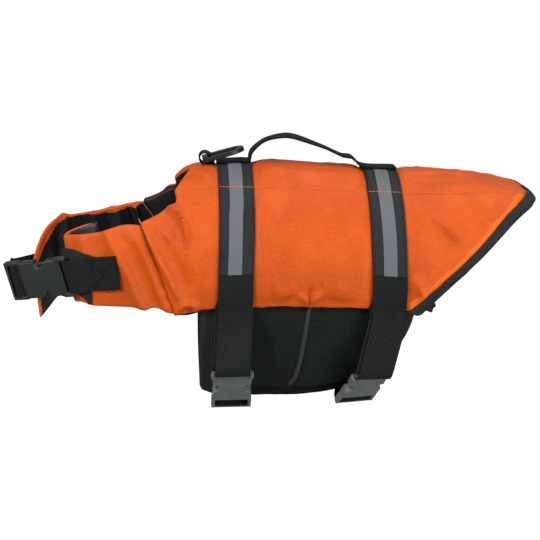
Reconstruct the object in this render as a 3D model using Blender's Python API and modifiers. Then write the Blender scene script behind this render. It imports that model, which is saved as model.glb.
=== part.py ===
"""Dog life jacket, in the hollow form it has when it is worn.

Frame: +X runs from the neck to the tail, +Z is up, and the wearer's left side is -Y.
The origin is on the lining under the handle, where the jacket rests on the wearer's back.
All sizes are in metres.

A place on the jacket is (x, girth). girth counts round the body from the spine: it is 0 on the
spine, -1 and +1 on the two sewn spine channels, and -2 and +2 on the left and right hems.
"""
from collections import namedtuple
from math import asin, cos, radians, sin

import bmesh
import bpy
from mathutils import Matrix, Vector

# ---------------------------------------------------------------- driving dimensions
GAP = 0.0003               # between neighbouring pieces
PAD = 0.012                # foam panel with its cloth on both sides
CHANNEL_PINCH = 0.0032     # how far a sewn channel or an edge pulls the outer cloth in
LINING_PINCH = 0.0038      # and how far it pulls the lining out
PUFF = 0.024               # distance from a seam at which the panel is full
SPINE_HALF = 0.048         # half width of the back panel between its channels
LOWER_DEPTH = 0.118        # depth of the lower quarter of the body's section
HEM_RADIUS = 0.085         # mean radius of the sides, for distances round the body

FLAP_END = 0.005           # chest flap at its free end
FLAP_BLEND = 0.12          # part of the flap that keeps the side panel's direction

BINDING_WIDTH = 0.009      # what shows of the bias tape on each face
TAPE = 0.0010              # bias tape

BELLY = 0.0030             # belly panel
BELLY_HALF = 0.0665        # half width of the belly at its top
BELLY_TOP = -0.106         # height of the belly's widest line
BELLY_UNDERLAP = 0.0050    # how far the right half goes in under the left one

WEBBING_WIDTH = 0.035
WEBBING = 0.0014
RIBBON_WIDTH = 0.034
RIBBON = 0.0010
STRIPE_WIDTH = 0.0135
STRIPE = 0.0010
CLEAR = 0.0005             # webbing over a faceted panel

RIBBON_END = 1.75          # girth at which the ribbon and its stripe end

HANDLE_WIDTH = 0.025
HANDLE = 0.0024            # two layers of webbing sewn together

# ---------------------------------------------------------------- tables
Station = namedtuple("Station", "x top widest half square")
STATIONS = (
    #        x       top     widest   half    square
    Station(-0.118,  0.0140, -0.0840, 0.0815, 2.10),
    Station(-0.092,  0.0133, -0.0835, 0.0822, 2.08),
    Station(-0.068,  0.0118, -0.0830, 0.0818, 2.02),
    Station(-0.050,  0.0137, -0.0830, 0.0822, 1.98),
    Station(-0.032,  0.0163, -0.0830, 0.0830, 1.96),
    Station(0.000,   0.0147, -0.0840, 0.0832, 1.95),
    Station(0.050,   0.0097, -0.0850, 0.0831, 2.00),
    Station(0.064,   0.0060, -0.0853, 0.0824, 2.01),
    Station(0.080,   0.0040, -0.0855, 0.0820, 2.02),
    Station(0.096,   0.0041, -0.0858, 0.0822, 2.04),
    Station(0.112,   0.0054, -0.0862, 0.0826, 2.07),
    Station(0.155,   0.0025, -0.0880, 0.0812, 2.30),
    Station(0.197,  -0.0025, -0.0900, 0.0790, 2.80),
    Station(0.219,  -0.0085, -0.0915, 0.0775, 3.50),
    Station(0.234,  -0.0128, -0.0920, 0.0765, 4.60),
)

Edge = namedtuple("Edge", "down x")
FRONT_EDGE = (             # front of a side panel: neckline, then the chest channel
    Edge(0.000, -0.1285),
    Edge(0.135, -0.1280),
    Edge(0.190, -0.1370),
    Edge(0.260, -0.1490),
    Edge(0.323, -0.1630),
)
CHEST_CHANNEL = (Edge(0.323, -0.1630), Edge(1.000, -0.1310))
REAR_EDGE = (              # rear of a side panel, from the tail down to the hem
    Edge(0.000, 0.2325),
    Edge(0.220, 0.2208),
    Edge(0.450, 0.1972),
    Edge(0.620, 0.1738),
    Edge(0.750, 0.1500),
    Edge(0.870, 0.1306),
    Edge(1.000, 0.1125),
)
NOTCH = 0.135              # girth fraction of the corner under the shoulder
CHANNEL_TOP = 0.323        # girth fraction where the chest channel starts
NECK_BACK = -0.1110        # front edge of the back panel on the spine
TAIL = 0.2350              # rear edge of the back panel on the spine

Hem = namedtuple("Hem", "x angle")
HEM = (                    # angle round the section at which the side panel ends
    Hem(-0.118, 111.3),
    Hem(-0.098, 109.0),
    Hem(0.088, 109.5),
    Hem(0.114, 113.0),
)

Flap = namedtuple("Flap", "along x_top x_hem top_angle hem_angle half thick")
LEFT_FLAP = (
    #    along   x_top    x_hem   top   hem    half    thick
    Flap(0.00, -0.1630, -0.1310, 60.6, 111.3, 0.0815, 0.0050),
    Flap(0.16, -0.1810, -0.1500, 61.5, 108.3, 0.0775, 0.0090),
    Flap(0.32, -0.2000, -0.1780, 66.1, 107.8, 0.0705, 0.0080),
    Flap(0.48, -0.2190, -0.2050, 68.7, 107.8, 0.0615, 0.0062),
    Flap(0.60, -0.2320, -0.2200, 69.9, 107.2, 0.0540, 0.0050),
    Flap(0.69, -0.2395, -0.2275, 70.6, 105.9, 0.0475, 0.0045),
    Flap(0.77, -0.2365, -0.2245, 69.3, 105.2, 0.0400, 0.0045),
    Flap(0.88, -0.2210, -0.2115, 64.8, 104.0, 0.0375, 0.0045),
    Flap(1.00, -0.2020, -0.1960, 61.5, 102.7, 0.0405, 0.0045),
)
RIGHT_FLAP = (
    Flap(0.00, -0.1630, -0.1310, 60.6, 111.3, 0.0815, 0.0050),
    Flap(0.16, -0.1810, -0.1500, 63.0, 108.8, 0.0785, 0.0090),
    Flap(0.38, -0.2120, -0.1880, 66.8, 107.8, 0.0685, 0.0080),
    Flap(0.56, -0.2370, -0.2180, 68.6, 108.3, 0.0580, 0.0064),
    Flap(0.68, -0.2520, -0.2400, 69.3, 110.6, 0.0480, 0.0055),
    Flap(0.80, -0.2650, -0.2550, 75.5, 113.8, 0.0370, 0.0050),
    Flap(0.91, -0.2735, -0.2655, 84.5, 119.8, 0.0270, 0.0050),
    Flap(1.00, -0.2785, -0.2725, 93.0, 123.8, 0.0190, 0.0050),
)

Keel = namedtuple("Keel", "x depth")
KEEL = (                   # depth of the belly below its widest line
    Keel(-0.110, 0.1150),
    Keel(-0.092, 0.1225),
    Keel(-0.070, 0.1258),
    Keel(-0.040, 0.1268),
    Keel(0.020, 0.1255),
    Keel(0.060, 0.1172),
    Keel(0.090, 0.1050),
    Keel(0.120, 0.0900),
)
Cut = namedtuple("Cut", "swing front rear")
BELLY_CUT = (              # belly panel's front and rear edges, by swing up from the keel
    Cut(86.0, -0.1035, 0.1095),
    Cut(70.0, -0.1040, 0.1075),
    Cut(55.0, -0.1045, 0.0990),
    Cut(40.0, -0.1045, 0.0850),
    Cut(20.0, -0.1040, 0.0722),
    Cut(0.0, -0.1040, 0.0672),
)
BELLY_LEFT_END = -31.0     # swing at which the left half ends
BELLY_RIGHT_END = -54.0    # swing at which the right half ends, in under the left one

COLOURS = {                # name: (colour, roughness)
    "orange nylon": ((0.82, 0.13, 0.02, 1.0), 0.50),
    "black binding": ((0.020, 0.022, 0.024, 1.0), 0.75),
    "black belly cloth": ((0.016, 0.018, 0.019, 1.0), 0.85),
    "black webbing": ((0.018, 0.020, 0.022, 1.0), 0.70),
    "charcoal ribbon": ((0.035, 0.040, 0.044, 1.0), 0.65),
    "grey reflective tape": ((0.22, 0.23, 0.25, 1.0), 0.40),
    "grey piping": ((0.10, 0.11, 0.12, 1.0), 0.55),
    "black loop pile": ((0.020, 0.020, 0.022, 1.0), 0.95),
    "grey plastic": ((0.060, 0.065, 0.070, 1.0), 0.40),
    "black plastic": ((0.020, 0.021, 0.023, 1.0), 0.35),
}


# ---------------------------------------------------------------- small tools
def read(table, at, field):
    """One column of a table at a place between its rows, on a smooth curve."""
    key = table[0]._fields[0]
    places = [getattr(row, key) for row in table]
    values = [getattr(row, field) for row in table]
    if places[0] > places[-1]:
        places, values = places[::-1], values[::-1]
    if at <= places[0]:
        return values[0]
    if at >= places[-1]:
        return values[-1]
    i = max(k for k in range(len(places) - 1) if places[k] <= at)

    def slope(k):
        low, high = max(k - 1, 0), min(k + 1, len(places) - 1)
        return (values[high] - values[low]) / (places[high] - places[low])

    span = places[i + 1] - places[i]
    t = (at - places[i]) / span
    return (values[i] * (1 + 2 * t) * (1 - t) ** 2 + slope(i) * span * t * (1 - t) ** 2
            + values[i + 1] * t * t * (3 - 2 * t) - slope(i + 1) * span * t * t * (1 - t))


def mix(a, b, t):
    return a + (b - a) * t


def smooth(t):
    t = min(max(t, 0.0), 1.0)
    return t * t * (3 - 2 * t)


def steps(low, high, count):
    return [mix(low, high, i / count) for i in range(count + 1)]


def through(marks, spacing):
    """Values that hit every mark, about evenly spaced between them."""
    values = [marks[0]]
    for low, high in zip(marks, marks[1:]):
        values += steps(low, high, max(1, round((high - low) / spacing)))[1:]
    return values


def puff(distance):
    """0 on a seam, 1 where the panel is full."""
    return 1 - (1 - min(max(distance, 0.0) / PUFF, 1.0)) ** 2


def flow(point, u, v, keep_u=(0.0, 1.0), keep_v=(0.0, 1.0)):
    """A surface's normal at (u, v), from two short steps along it."""
    step = 1e-3
    u0, u1 = max(u - step, keep_u[0]), min(u + step, keep_u[1])
    v0, v1 = max(v - step, keep_v[0]), min(v + step, keep_v[1])
    return (point(u1, v) - point(u0, v)).cross(point(u, v1) - point(u, v0)).normalized()


# ---------------------------------------------------------------- the body's surface
def seam_angle(x):
    """Angle round the section of the spine channel."""
    half = read(STATIONS, x, "half")
    return asin((SPINE_HALF / half) ** (read(STATIONS, x, "square") / 2))


def hem_angle(x):
    return radians(read(HEM, x, "angle"))


def form(x, girth):
    """The jacket's plain outer surface, before seams pull it in."""
    top, widest = read(STATIONS, x, "top"), read(STATIONS, x, "widest")
    half, square = read(STATIONS, x, "half"), read(STATIONS, x, "square")
    if abs(girth) <= 1:
        y = girth * SPINE_HALF
        arch = (1 - (abs(y) / half) ** square) ** (1 / square)
        return Vector((x, y, widest + (top - widest) * arch))
    angle = mix(seam_angle(x), hem_angle(x), abs(girth) - 1)
    return Vector((x, *side_of_section(angle, top, widest, half, square, girth)))


def side_of_section(angle, top, widest, half, square, side):
    y = half * sin(angle) ** (2 / square)
    if cos(angle) > 0:
        z = widest + (top - widest) * cos(angle) ** (2 / square)
    else:
        z = widest + LOWER_DEPTH * cos(angle)
    return (y if side > 0 else -y), z


def form_normal(x, girth):
    edge = 1.0 if abs(girth) <= 1 else 2.0
    low, high = (-1.0, 1.0) if edge == 1.0 else ((1.0, 2.0) if girth > 0 else (-2.0, -1.0))
    step = 2e-3
    g0, g1 = max(girth - step, low), min(girth + step, high)
    along = form(x + 5e-4, girth) - form(x - 5e-4, girth)
    around = form(x, g1) - form(x, g0)
    return along.cross(around).normalized()


def front_x(down):
    """Front edge of a side panel at a girth fraction below the channel."""
    if down >= CHANNEL_TOP:
        return mix(CHEST_CHANNEL[0].x, CHEST_CHANNEL[1].x,
                   (down - CHANNEL_TOP) / (1 - CHANNEL_TOP))
    return read(FRONT_EDGE, down, "x")


def rear_x(down):
    return read(REAR_EDGE, down, "x")


def back_front_x(girth):
    return mix(NECK_BACK, FRONT_EDGE[0].x, abs(girth) ** 1.6)


def back_rear_x(girth):
    return mix(TAIL, REAR_EDGE[0].x, girth * girth)


def fullness(x, girth):
    """How full the panel is at a place: 0 on its seams and edges, 1 well inside."""
    down = abs(girth) - 1
    if down <= 0:
        rear = (back_rear_x(girth) - x)
        front = (x - back_front_x(girth))
        return min(puff(-down * SPINE_HALF), puff(rear), puff(front))
    spread = HEM_RADIUS * (hem_angle(x) - seam_angle(x))
    rear = (rear_x(down) - x) * 0.75
    front = (x - front_x(down)) * 0.92
    return min(puff(down * spread), puff((1 - down) * spread), puff(rear), puff(front))


def outer(x, girth, lift=0.0):
    """A point on the jacket's outer cloth, moved out by lift."""
    pull = CHANNEL_PINCH * (1 - fullness(x, girth))
    return form(x, girth) + form_normal(x, girth) * (lift - pull)


def inner(x, girth, lift=0.0):
    """A point on the jacket's lining, moved in towards the wearer by lift."""
    rise = LINING_PINCH * (1 - fullness(x, girth))
    return form(x, girth) - form_normal(x, girth) * (PAD - rise + lift)


def flap_form(table, side, along, down):
    """A chest flap's outer face: along from the chest channel to its end, down from its top."""
    angle = radians(mix(read(table, along, "top_angle"), read(table, along, "hem_angle"), down))
    x = mix(read(table, along, "x_top"), read(table, along, "x_hem"), down)
    neck = STATIONS[0]
    half = read(table, along, "half")
    x -= 1.5 * GAP * (1 - along)
    return Vector((x, *side_of_section(angle, neck.top, neck.widest, half, neck.square, side)))


def flap_point(table, side, along, down, depth, lift=0.0):
    """A point on a chest flap: depth 0 on its outer face, 1 on its lining."""
    normal = flow(lambda u, v: flap_form(table, side, u, v), along, down)
    if side > 0:
        normal = -normal
    if along < FLAP_BLEND:
        seam = form_normal(STATIONS[0].x - 0.01, side * (1 + mix(CHANNEL_TOP, 1.0, down)))
        normal = seam.lerp(normal, smooth(along / FLAP_BLEND)).normalized()
    thick = read(table, along, "thick")
    hem = min(down, 1 - down) * 0.075
    slim = (1 - puff(hem)) * (thick - FLAP_END) * 0.6 if thick > FLAP_END else 0.0
    pull = CHANNEL_PINCH * (1 - puff(along * 0.11))
    return flap_form(table, side, along, down) + normal * (
        lift - pull - slim * 0.5 - depth * (thick - slim))


def belly_point(x, swing, lift=0.0):
    """The belly panel's outer face. swing is the angle up from the keel, negative on the left."""
    turn = radians(swing)
    depth = read(KEEL, x, "depth")
    out = Vector((0, sin(turn) / BELLY_HALF, -cos(turn) / depth)).normalized()
    return Vector((x, BELLY_HALF * sin(turn), BELLY_TOP - depth * cos(turn))) + out * lift


# ---------------------------------------------------------------- building
def begin():
    for item in list(bpy.data.objects):
        bpy.data.objects.remove(item, do_unlink=True)
    parts = bpy.data.collections.new("dog_life_jacket")
    cutters = bpy.data.collections.new("cutters")
    bpy.context.scene.collection.children.link(parts)
    bpy.context.scene.collection.children.link(cutters)
    return parts, cutters


PARTS, CUTTERS = begin()


def finish_of(node, name):
    """Each piece has a material of its own, in the colour of its cloth or plastic."""
    colour, rough = COLOURS[name]
    material = bpy.data.materials.new(node + " " + name)
    material.use_nodes = True
    shader = material.node_tree.nodes["Principled BSDF"]
    shader.inputs["Base Color"].default_value = colour
    shader.inputs["Roughness"].default_value = rough
    shader.inputs["Metallic"].default_value = 0.0
    return material


def keep(name, mesh, finish, collection=None):
    piece = bpy.data.objects.new(name, mesh)
    (collection or PARTS).objects.link(piece)
    if finish:
        mesh.materials.append(finish_of(name, finish))
        mesh.shade_smooth()
        mesh.set_sharp_from_angle(angle=radians(40))
    return piece


def slab(name, us, vs, place, finish):
    """A flat slab two faces deep, bent so that its corner (u, v, face) lies at place(u, v, face)."""
    bm = bmesh.new()
    bmesh.ops.create_grid(bm, x_segments=len(us) - 1, y_segments=len(vs) - 1, size=0.5)
    raised = bmesh.ops.extrude_face_region(bm, geom=bm.faces[:], use_keep_orig=True)
    for corner in raised["geom"]:
        if isinstance(corner, bmesh.types.BMVert):
            corner.co.z = 1.0
    bmesh.ops.recalc_face_normals(bm, faces=bm.faces[:])
    for corner in bm.verts:
        u = us[round((corner.co.x + 0.5) * (len(us) - 1))]
        v = vs[round((corner.co.y + 0.5) * (len(vs) - 1))]
        corner.co = place(u, v, round(corner.co.z))
    if bm.calc_volume(signed=True) < 0:
        bmesh.ops.reverse_faces(bm, faces=bm.faces[:])
    mesh = bpy.data.meshes.new(name)
    bm.to_mesh(mesh)
    bm.free()
    return keep(name, mesh, finish)


# ---------------------------------------------------------------- padded panels
def side_rows():
    return through([0.0, NOTCH, CHANNEL_TOP, 1.0], 0.090)


def side_columns():
    return [0.0, 0.018, 0.045] + steps(0.08, 0.92, 22) + [0.955, 0.982, 1.0]


def spine_pad():
    def place(along, girth, lining):
        x = mix(back_front_x(girth), back_rear_x(girth), along)
        return (inner if lining else outer)(x, girth)
    rim = 1 - GAP / SPINE_HALF
    slab("spine_pad", side_columns(), [-rim, -0.72, -0.42, 0.0, 0.42, 0.72, rim], place, "orange nylon")


def side_pad(name, side):
    def place(along, down, lining):
        start = front_x(down) + (GAP if down >= CHANNEL_TOP else 0.0)
        x = mix(start, rear_x(down), along)
        girth = side * (1 + max(down, 0.003))
        return (inner if lining else outer)(x, girth)
    slab(name, side_columns(), side_rows(), place, "orange nylon")


def chest_flap(name, table, side, columns):
    def place(along, down, lining):
        return flap_point(table, side, along, down, lining)
    slab(name, columns, steps(0, 1, 8), place, "orange nylon")


def rear_binding():
    """Bias tape folded over the whole rear edge, from the left hem over the tail to the right."""
    fold = (              # back from the edge, and which face of the panel it lies on
        (BINDING_WIDTH, 0),
        (BINDING_WIDTH / 2, 0),
        (-GAP, 0),
        (-GAP, 1),
        (BINDING_WIDTH / 2, 1),
        (BINDING_WIDTH, 1),
    )

    def place(girth, turn, face):
        back, lining = fold[turn]
        down = abs(girth) - 1
        slant = mix(1.0, 1.35, smooth(down / 0.3))
        edge = rear_x(down) if down > 0 else back_rear_x(girth)
        out = GAP * 2.8 + TAPE * face
        if back < 0:
            x, lift = edge + GAP + (GAP + TAPE * face) * slant, out * 0.7
        else:
            x, lift = edge - back * slant, out
        at = min(x, edge)
        point = (inner if lining else outer)(at, girth, lift)
        return point + Vector((x - at, 0, 0))

    rows = [-side for side in reversed([1 + d for d in side_rows()])]
    spine = [-0.72, -0.36, 0.0, 0.36, 0.72]
    girths = rows + spine + [-g for g in reversed(rows)]
    slab("rear_binding", girths, range(len(fold)), place, "black binding")


# ---------------------------------------------------------------- belly
def belly_shift(side, swing):
    """The right half slips in under the left one before it reaches the keel's left side."""
    return BELLY_UNDERLAP * smooth((-8.0 - swing) / 16.0) if side > 0 else 0.0


def belly_x(swing, along):
    swing = abs(swing)
    return mix(read(BELLY_CUT, swing, "front"), read(BELLY_CUT, swing, "rear"), along)


def belly_swings(side):
    return steps(-86.0, BELLY_LEFT_END, 7) if side < 0 else steps(BELLY_RIGHT_END, 86.0, 16)


def belly_panel(name, side):
    def place(along, swing, lining):
        return belly_point(belly_x(swing, along), swing, -belly_shift(side, swing) - BELLY * lining)
    slab(name, steps(0, 1, 12), belly_swings(side), place, "black belly cloth")


def belly_trim(name, side, end):
    """A webbing tape folded over the belly panel's front (end 0) or rear (end 1) edge.

    The right half's tapes stop before they would run in under the left half.
    """
    swings = [s for s in belly_swings(side) if side < 0 or s > BELLY_LEFT_END + 3]
    width = 0.0125 if end == 0 else 0.0080
    fold = ((width, 0), (-GAP, 0), (-GAP, 1), (width, 1))
    away = -1 if end == 0 else 1

    def place(swing, turn, face):
        back, lining = fold[turn]
        edge = belly_x(swing, end)
        x = edge - away * back if back > 0 else edge + away * (GAP + TAPE * face)
        out = GAP + TAPE * face
        level = -belly_shift(side, swing)
        return belly_point(x, swing, level - BELLY - out if lining else level + out)
    slab(name, swings, range(len(fold)), place, "black binding")


def belly_piping(name, side):
    """A raised grey strip that runs down and forward across the panel."""
    swings = steps(BELLY_LEFT_END - 2, -80.0, 8)

    def place(swing, across, face):
        lean = mix(-0.012, 0.003, ((-swing - 33) / 47) ** 0.8)
        return belly_point(lean + (across - 0.5) * 0.0032, side * -swing, GAP + 0.0015 * face)
    slab(name, swings, [0.0, 1.0], place, "grey piping")


# ---------------------------------------------------------------- webbing
Frame = namedtuple("Frame", "centre across out")


def ribbon(name, frames, width, low, thick, finish, columns=(0.0, 0.5, 1.0)):
    """A flat tape along a run of frames, its under face low above them."""
    def place(at, across, face):
        frame = frames[at]
        return frame.centre + frame.across * (width * (across - 0.5)) + frame.out * (low + thick * face)
    return slab(name, range(len(frames)), list(columns), place, finish)


def lying(surface, x, guess):
    """The frame of a tape that lies over a surface; surface(x) runs across the tape."""
    reach = WEBBING_WIDTH / 2
    left, right = surface(x - reach), surface(x + reach)
    across = (right - left).normalized()
    out = (guess - across * guess.dot(across)).normalized()
    high = max((surface(x + shift * reach) - left).dot(out) for shift in (-1, -0.5, 0, 0.5, 1))
    return Frame((left + right) / 2 + out * max(high, 0.0), across, out)


def pad_frame(x, girth):
    return lying(lambda at: outer(at, girth), x, form_normal(x, girth))


def belly_frame(x, swing, stand):
    guess = belly_point(x, swing, 1.0) - belly_point(x, swing)
    return lying(lambda at: belly_point(at, swing, stand), x, guess)


def free_frames(points, acrosses, guess):
    """Frames along free webbing, from its points and the direction it is wide in."""
    frames = []
    for i, point in enumerate(points):
        ahead, behind = points[min(i + 1, len(points) - 1)], points[max(i - 1, 0)]
        across = acrosses[i].normalized()
        out = (ahead - behind).cross(across).normalized()
        if out.dot(guess(point)) < 0:
            out = -out
        frames.append(Frame(point, across, out))
    return frames


def curve_through(points, count):
    """A smooth run of points through a few given ones."""
    run = []
    for i in range(len(points) - 1):
        before, after = points[max(i - 1, 0)], points[min(i + 2, len(points) - 1)]
        start, end = points[i], points[i + 1]
        leave, arrive = (end - before) / 2, (after - start) / 2
        for k in range(count):
            t = k / count
            run.append(start * (1 + 2 * t) * (1 - t) ** 2 + leave * t * (1 - t) ** 2
                       + end * t * t * (3 - 2 * t) - arrive * t * t * (1 - t))
    run.append(points[-1])
    return run


GIRTHS = {
    # x on the side, the shift of x at the hem, and the near buckle's middle with its turns
    "front": dict(x=-0.0680, hem_x=-0.0715, buckle=Vector((-0.0737, -0.0492, -0.2112)),
                  slope=47.0, skew=0.0, roll=0.0, stand=0.0),
    "rear": dict(x=0.0805, hem_x=0.0825, buckle=Vector((0.0620, -0.0400, -0.2156)),
                 slope=40.0, skew=-10.0, roll=8.0, stand=0.0016),
}


def buckle_matrix(middle, run, face):
    """Buckle axes: +X along the strap to the female end, +Z out of its face."""
    run = run.normalized()
    face = (face - run * face.dot(run)).normalized()
    across = face.cross(run)
    axes = Matrix((run, across, face)).transposed().to_4x4()
    return Matrix.Translation(middle) @ axes


def girth_buckle_matrix(which):
    plan = GIRTHS[which]
    slope, skew = radians(plan["slope"]), radians(plan["skew"])
    run = Vector((-sin(skew), -cos(slope) * cos(skew), sin(slope) * cos(skew)))
    face = Vector((sin(radians(plan["roll"])), -sin(slope), -cos(slope)))
    return buckle_matrix(plan["buckle"], run, face)


def girth_x(which, girth):
    plan = GIRTHS[which]
    return mix(plan["x"], plan["hem_x"], smooth(abs(girth) - 1.2))


def girth_lift(girth):
    """The webbing rises off the near hem to let its tail lie under it."""
    return CLEAR + (WEBBING + 2 * GAP) * smooth((-girth - 1.66) / 0.14)


def girth_frames(which, girths):
    frames = []
    for girth in girths:
        frame = pad_frame(girth_x(which, girth), girth)
        frames.append(frame._replace(centre=frame.centre + frame.out * girth_lift(girth)))
    return frames


def all_girths():
    side = [1 + d for d in side_rows()]
    return [-g for g in reversed(side)] + [-0.72, -0.42, 0.0, 0.42, 0.72] + side


BUCKLE_LENGTH = 0.0700
BUCKLE_WIDTH = 0.0415
BUCKLE_THICK = 0.0110
BAR = 0.0036               # webbing bars at the buckle's two ends
BAR_TOP = 0.0026           # the bars' faces, in the buckle's axes
BAR_UNDER = -0.0036
OVER_FEMALE_BAR = (        # webbing's under face, from inside the slot and over the bar
    Vector((BUCKLE_LENGTH / 2 - 0.0085, 0, BAR_TOP - 0.0030)),
    Vector((BUCKLE_LENGTH / 2 - 0.0050, 0, BAR_TOP + 0.0008)),
    Vector((BUCKLE_LENGTH / 2 - 0.0010, 0, BAR_TOP + 0.0012)),
    Vector((BUCKLE_LENGTH / 2 + 0.0120, 0, BAR_TOP + 0.0006)),
)
UNDER_MALE_BAR = (         # and along under the bar, then up into the slot
    Vector((-BUCKLE_LENGTH / 2 - 0.0050, 0, BAR_UNDER - 0.0030)),
    Vector((-BUCKLE_LENGTH / 2 + 0.0018, 0, BAR_UNDER - WEBBING - 0.0009)),
    Vector((-BUCKLE_LENGTH / 2 + 0.0052, 0, BAR_UNDER - WEBBING - 0.0006)),
    Vector((-BUCKLE_LENGTH / 2 + 0.0086, 0, BAR_UNDER + 0.0020)),
)
ROUND_NECK_BAR = (         # the neck strap comes at its bar from behind
    Vector((-BUCKLE_LENGTH / 2 - 0.0035, 0, -0.0180)),
    Vector((-BUCKLE_LENGTH / 2 + 0.0005, 0, -0.0082)),
    Vector((-BUCKLE_LENGTH / 2 + 0.0042, 0, BAR_UNDER - WEBBING - 0.0010)),
    Vector((-BUCKLE_LENGTH / 2 + 0.0086, 0, BAR_UNDER + 0.0020)),
)


def outward(point):
    return Vector((0, point.y, point.z + 0.10))


def girth_webbing(which):
    """One length: from the near buckle's female bar, over the spine, to its male bar."""
    matrix = girth_buckle_matrix(which)
    across = matrix.to_3x3() @ Vector((0, 1, 0))
    if across.x < 0:
        across = -across
    on_pad = girth_frames(which, all_girths())
    start, end = on_pad[0], on_pad[-1]
    near = curve_through([matrix @ spot for spot in OVER_FEMALE_BAR]
                         + [start.centre + start.out * 0.0003 - Vector((0, 0, 0.012)),
                            start.centre], 2)[:-1]
    near_across = [across.lerp(start.across, max(i - 5, 0) / (len(near) - 5))
                   for i in range(len(near))]
    male = [matrix @ spot for spot in UNDER_MALE_BAR]
    x = end.centre.x
    below = end.centre + Vector((0, 0.0, -0.014)) + end.out * 0.0004
    hang = [end, end._replace(centre=below)]
    for swing, stand in ((70, 0.0045), (52, 0.0020), (34, 0.0012), (16, 0.0012), (1, 0.0016)):
        shift = (male[0].x - x) * (1 - swing / 86) ** 0.8
        hang.append(belly_frame(x + shift, swing, stand + GIRTHS[which]["stand"]))
    far = curve_through([frame.centre for frame in hang] + male, 2)[1:]
    far_across = curve_through([frame.across for frame in hang] + [across for spot in male], 2)[1:]
    frames = free_frames(near, near_across, outward) + on_pad + free_frames(far, far_across, outward)
    ribbon(which + "_webbing", frames, WEBBING_WIDTH, 0.0, WEBBING, "black webbing")


def girth_tail(which):
    """The webbing's free end, folded back behind the near side."""
    matrix = girth_buckle_matrix(which)
    across = matrix.to_3x3() @ Vector((0, 1, 0))
    if across.x < 0:
        across = -across
    shift = Vector((-0.0038, 0, 0))
    on_pad = []
    for girth in (-2.0, -1.925, -1.85):
        frame = pad_frame(girth_x(which, girth) + shift.x, girth)
        on_pad.append(frame._replace(centre=frame.centre + frame.out * GAP * 1.5))
    start = on_pad[0]
    bar = matrix @ Vector((BUCKLE_LENGTH / 2 + 0.0015, 0, -0.0012))
    approach = matrix @ Vector((BUCKLE_LENGTH / 2 + 0.011, 0, 0.0003))
    near = curve_through([bar + shift * 0.3, approach + shift, start.centre
                          - Vector((0, 0, 0.012)), start.centre], 3)[:-1]
    near_across = [across.lerp(start.across, max(i - 5, 0) / (len(near) - 5))
                   for i in range(len(near))]
    frames = free_frames(near, near_across, outward) + on_pad
    ribbon(which + "_webbing_tail", frames, WEBBING_WIDTH - 0.0015, 0.0, WEBBING * 0.8, "black webbing")


def girth_ribbons(which):
    """The charcoal ribbon over the webbing, and its reflective stripe, hem to hem."""
    tuck = (HANDLE_WIDTH / 2 + 0.0006) / SPINE_HALF
    for side, word in ((-1, "left"), (1, "right")):
        girths = [side * g for g in [tuck] + [g for g in all_girths() if tuck < g <= RIBBON_END]]
        frames = girth_frames(which, girths)
        level = WEBBING + GAP
        ribbon("%s_ribbon_%s" % (which, word), frames, RIBBON_WIDTH, level, RIBBON, "charcoal ribbon")
        level += RIBBON + GAP
        ribbon("%s_reflector_%s" % (which, word), frames, STRIPE_WIDTH, level, STRIPE,
               "grey reflective tape", (0.0, 1.0))


# ---------------------------------------------------------------- buckles
def block(name, matrix, low, high, finish=None, bevel=0.0):
    """A box between two corners in a buckle's own axes."""
    bm = bmesh.new()
    size = Vector(high) - Vector(low)
    bmesh.ops.create_cube(bm, size=1.0)
    bmesh.ops.transform(bm, verts=bm.verts,
                        matrix=Matrix.Translation((Vector(low) + Vector(high)) / 2)
                        @ Matrix.Diagonal(size).to_4x4())
    mesh = bpy.data.meshes.new(name)
    bm.to_mesh(mesh)
    bm.free()
    piece = keep(name, mesh, finish, PARTS if finish else CUTTERS)
    piece.matrix_world = matrix
    if not finish:
        piece.hide_render = True
        piece.display_type = "WIRE"
    if bevel:
        soften = piece.modifiers.new("soft edges", "BEVEL")
        soften.width = bevel
        soften.segments = 2
    return piece


def cylinder_cutter(name, matrix, centre, radius, depth):
    bm = bmesh.new()
    bmesh.ops.create_cone(bm, cap_ends=True, segments=20, radius1=radius, radius2=radius,
                          depth=depth)
    bmesh.ops.translate(bm, verts=bm.verts, vec=Vector(centre))
    mesh = bpy.data.meshes.new(name)
    bm.to_mesh(mesh)
    bm.free()
    piece = keep(name, mesh, None, CUTTERS)
    piece.matrix_world = matrix
    piece.hide_render = True
    piece.display_type = "WIRE"
    return piece


def combine(piece, other, operation):
    step = piece.modifiers.new(operation.lower(), "BOOLEAN")
    step.operation = operation
    step.object = other
    step.solver = "EXACT"


# Stations along a buckle, measured from its middle
MALE_END = -BUCKLE_LENGTH / 2
MALE_SHOULDER = -0.0205
FEMALE_MOUTH = -0.0202
FEMALE_BACK = 0.0195
FEMALE_END = BUCKLE_LENGTH / 2
SLOT_HALF = 0.0185
ARM = 0.0052               # width of a latch arm
CAVITY_HALF = 0.0172
CAVITY_THICK = 0.0062


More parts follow.
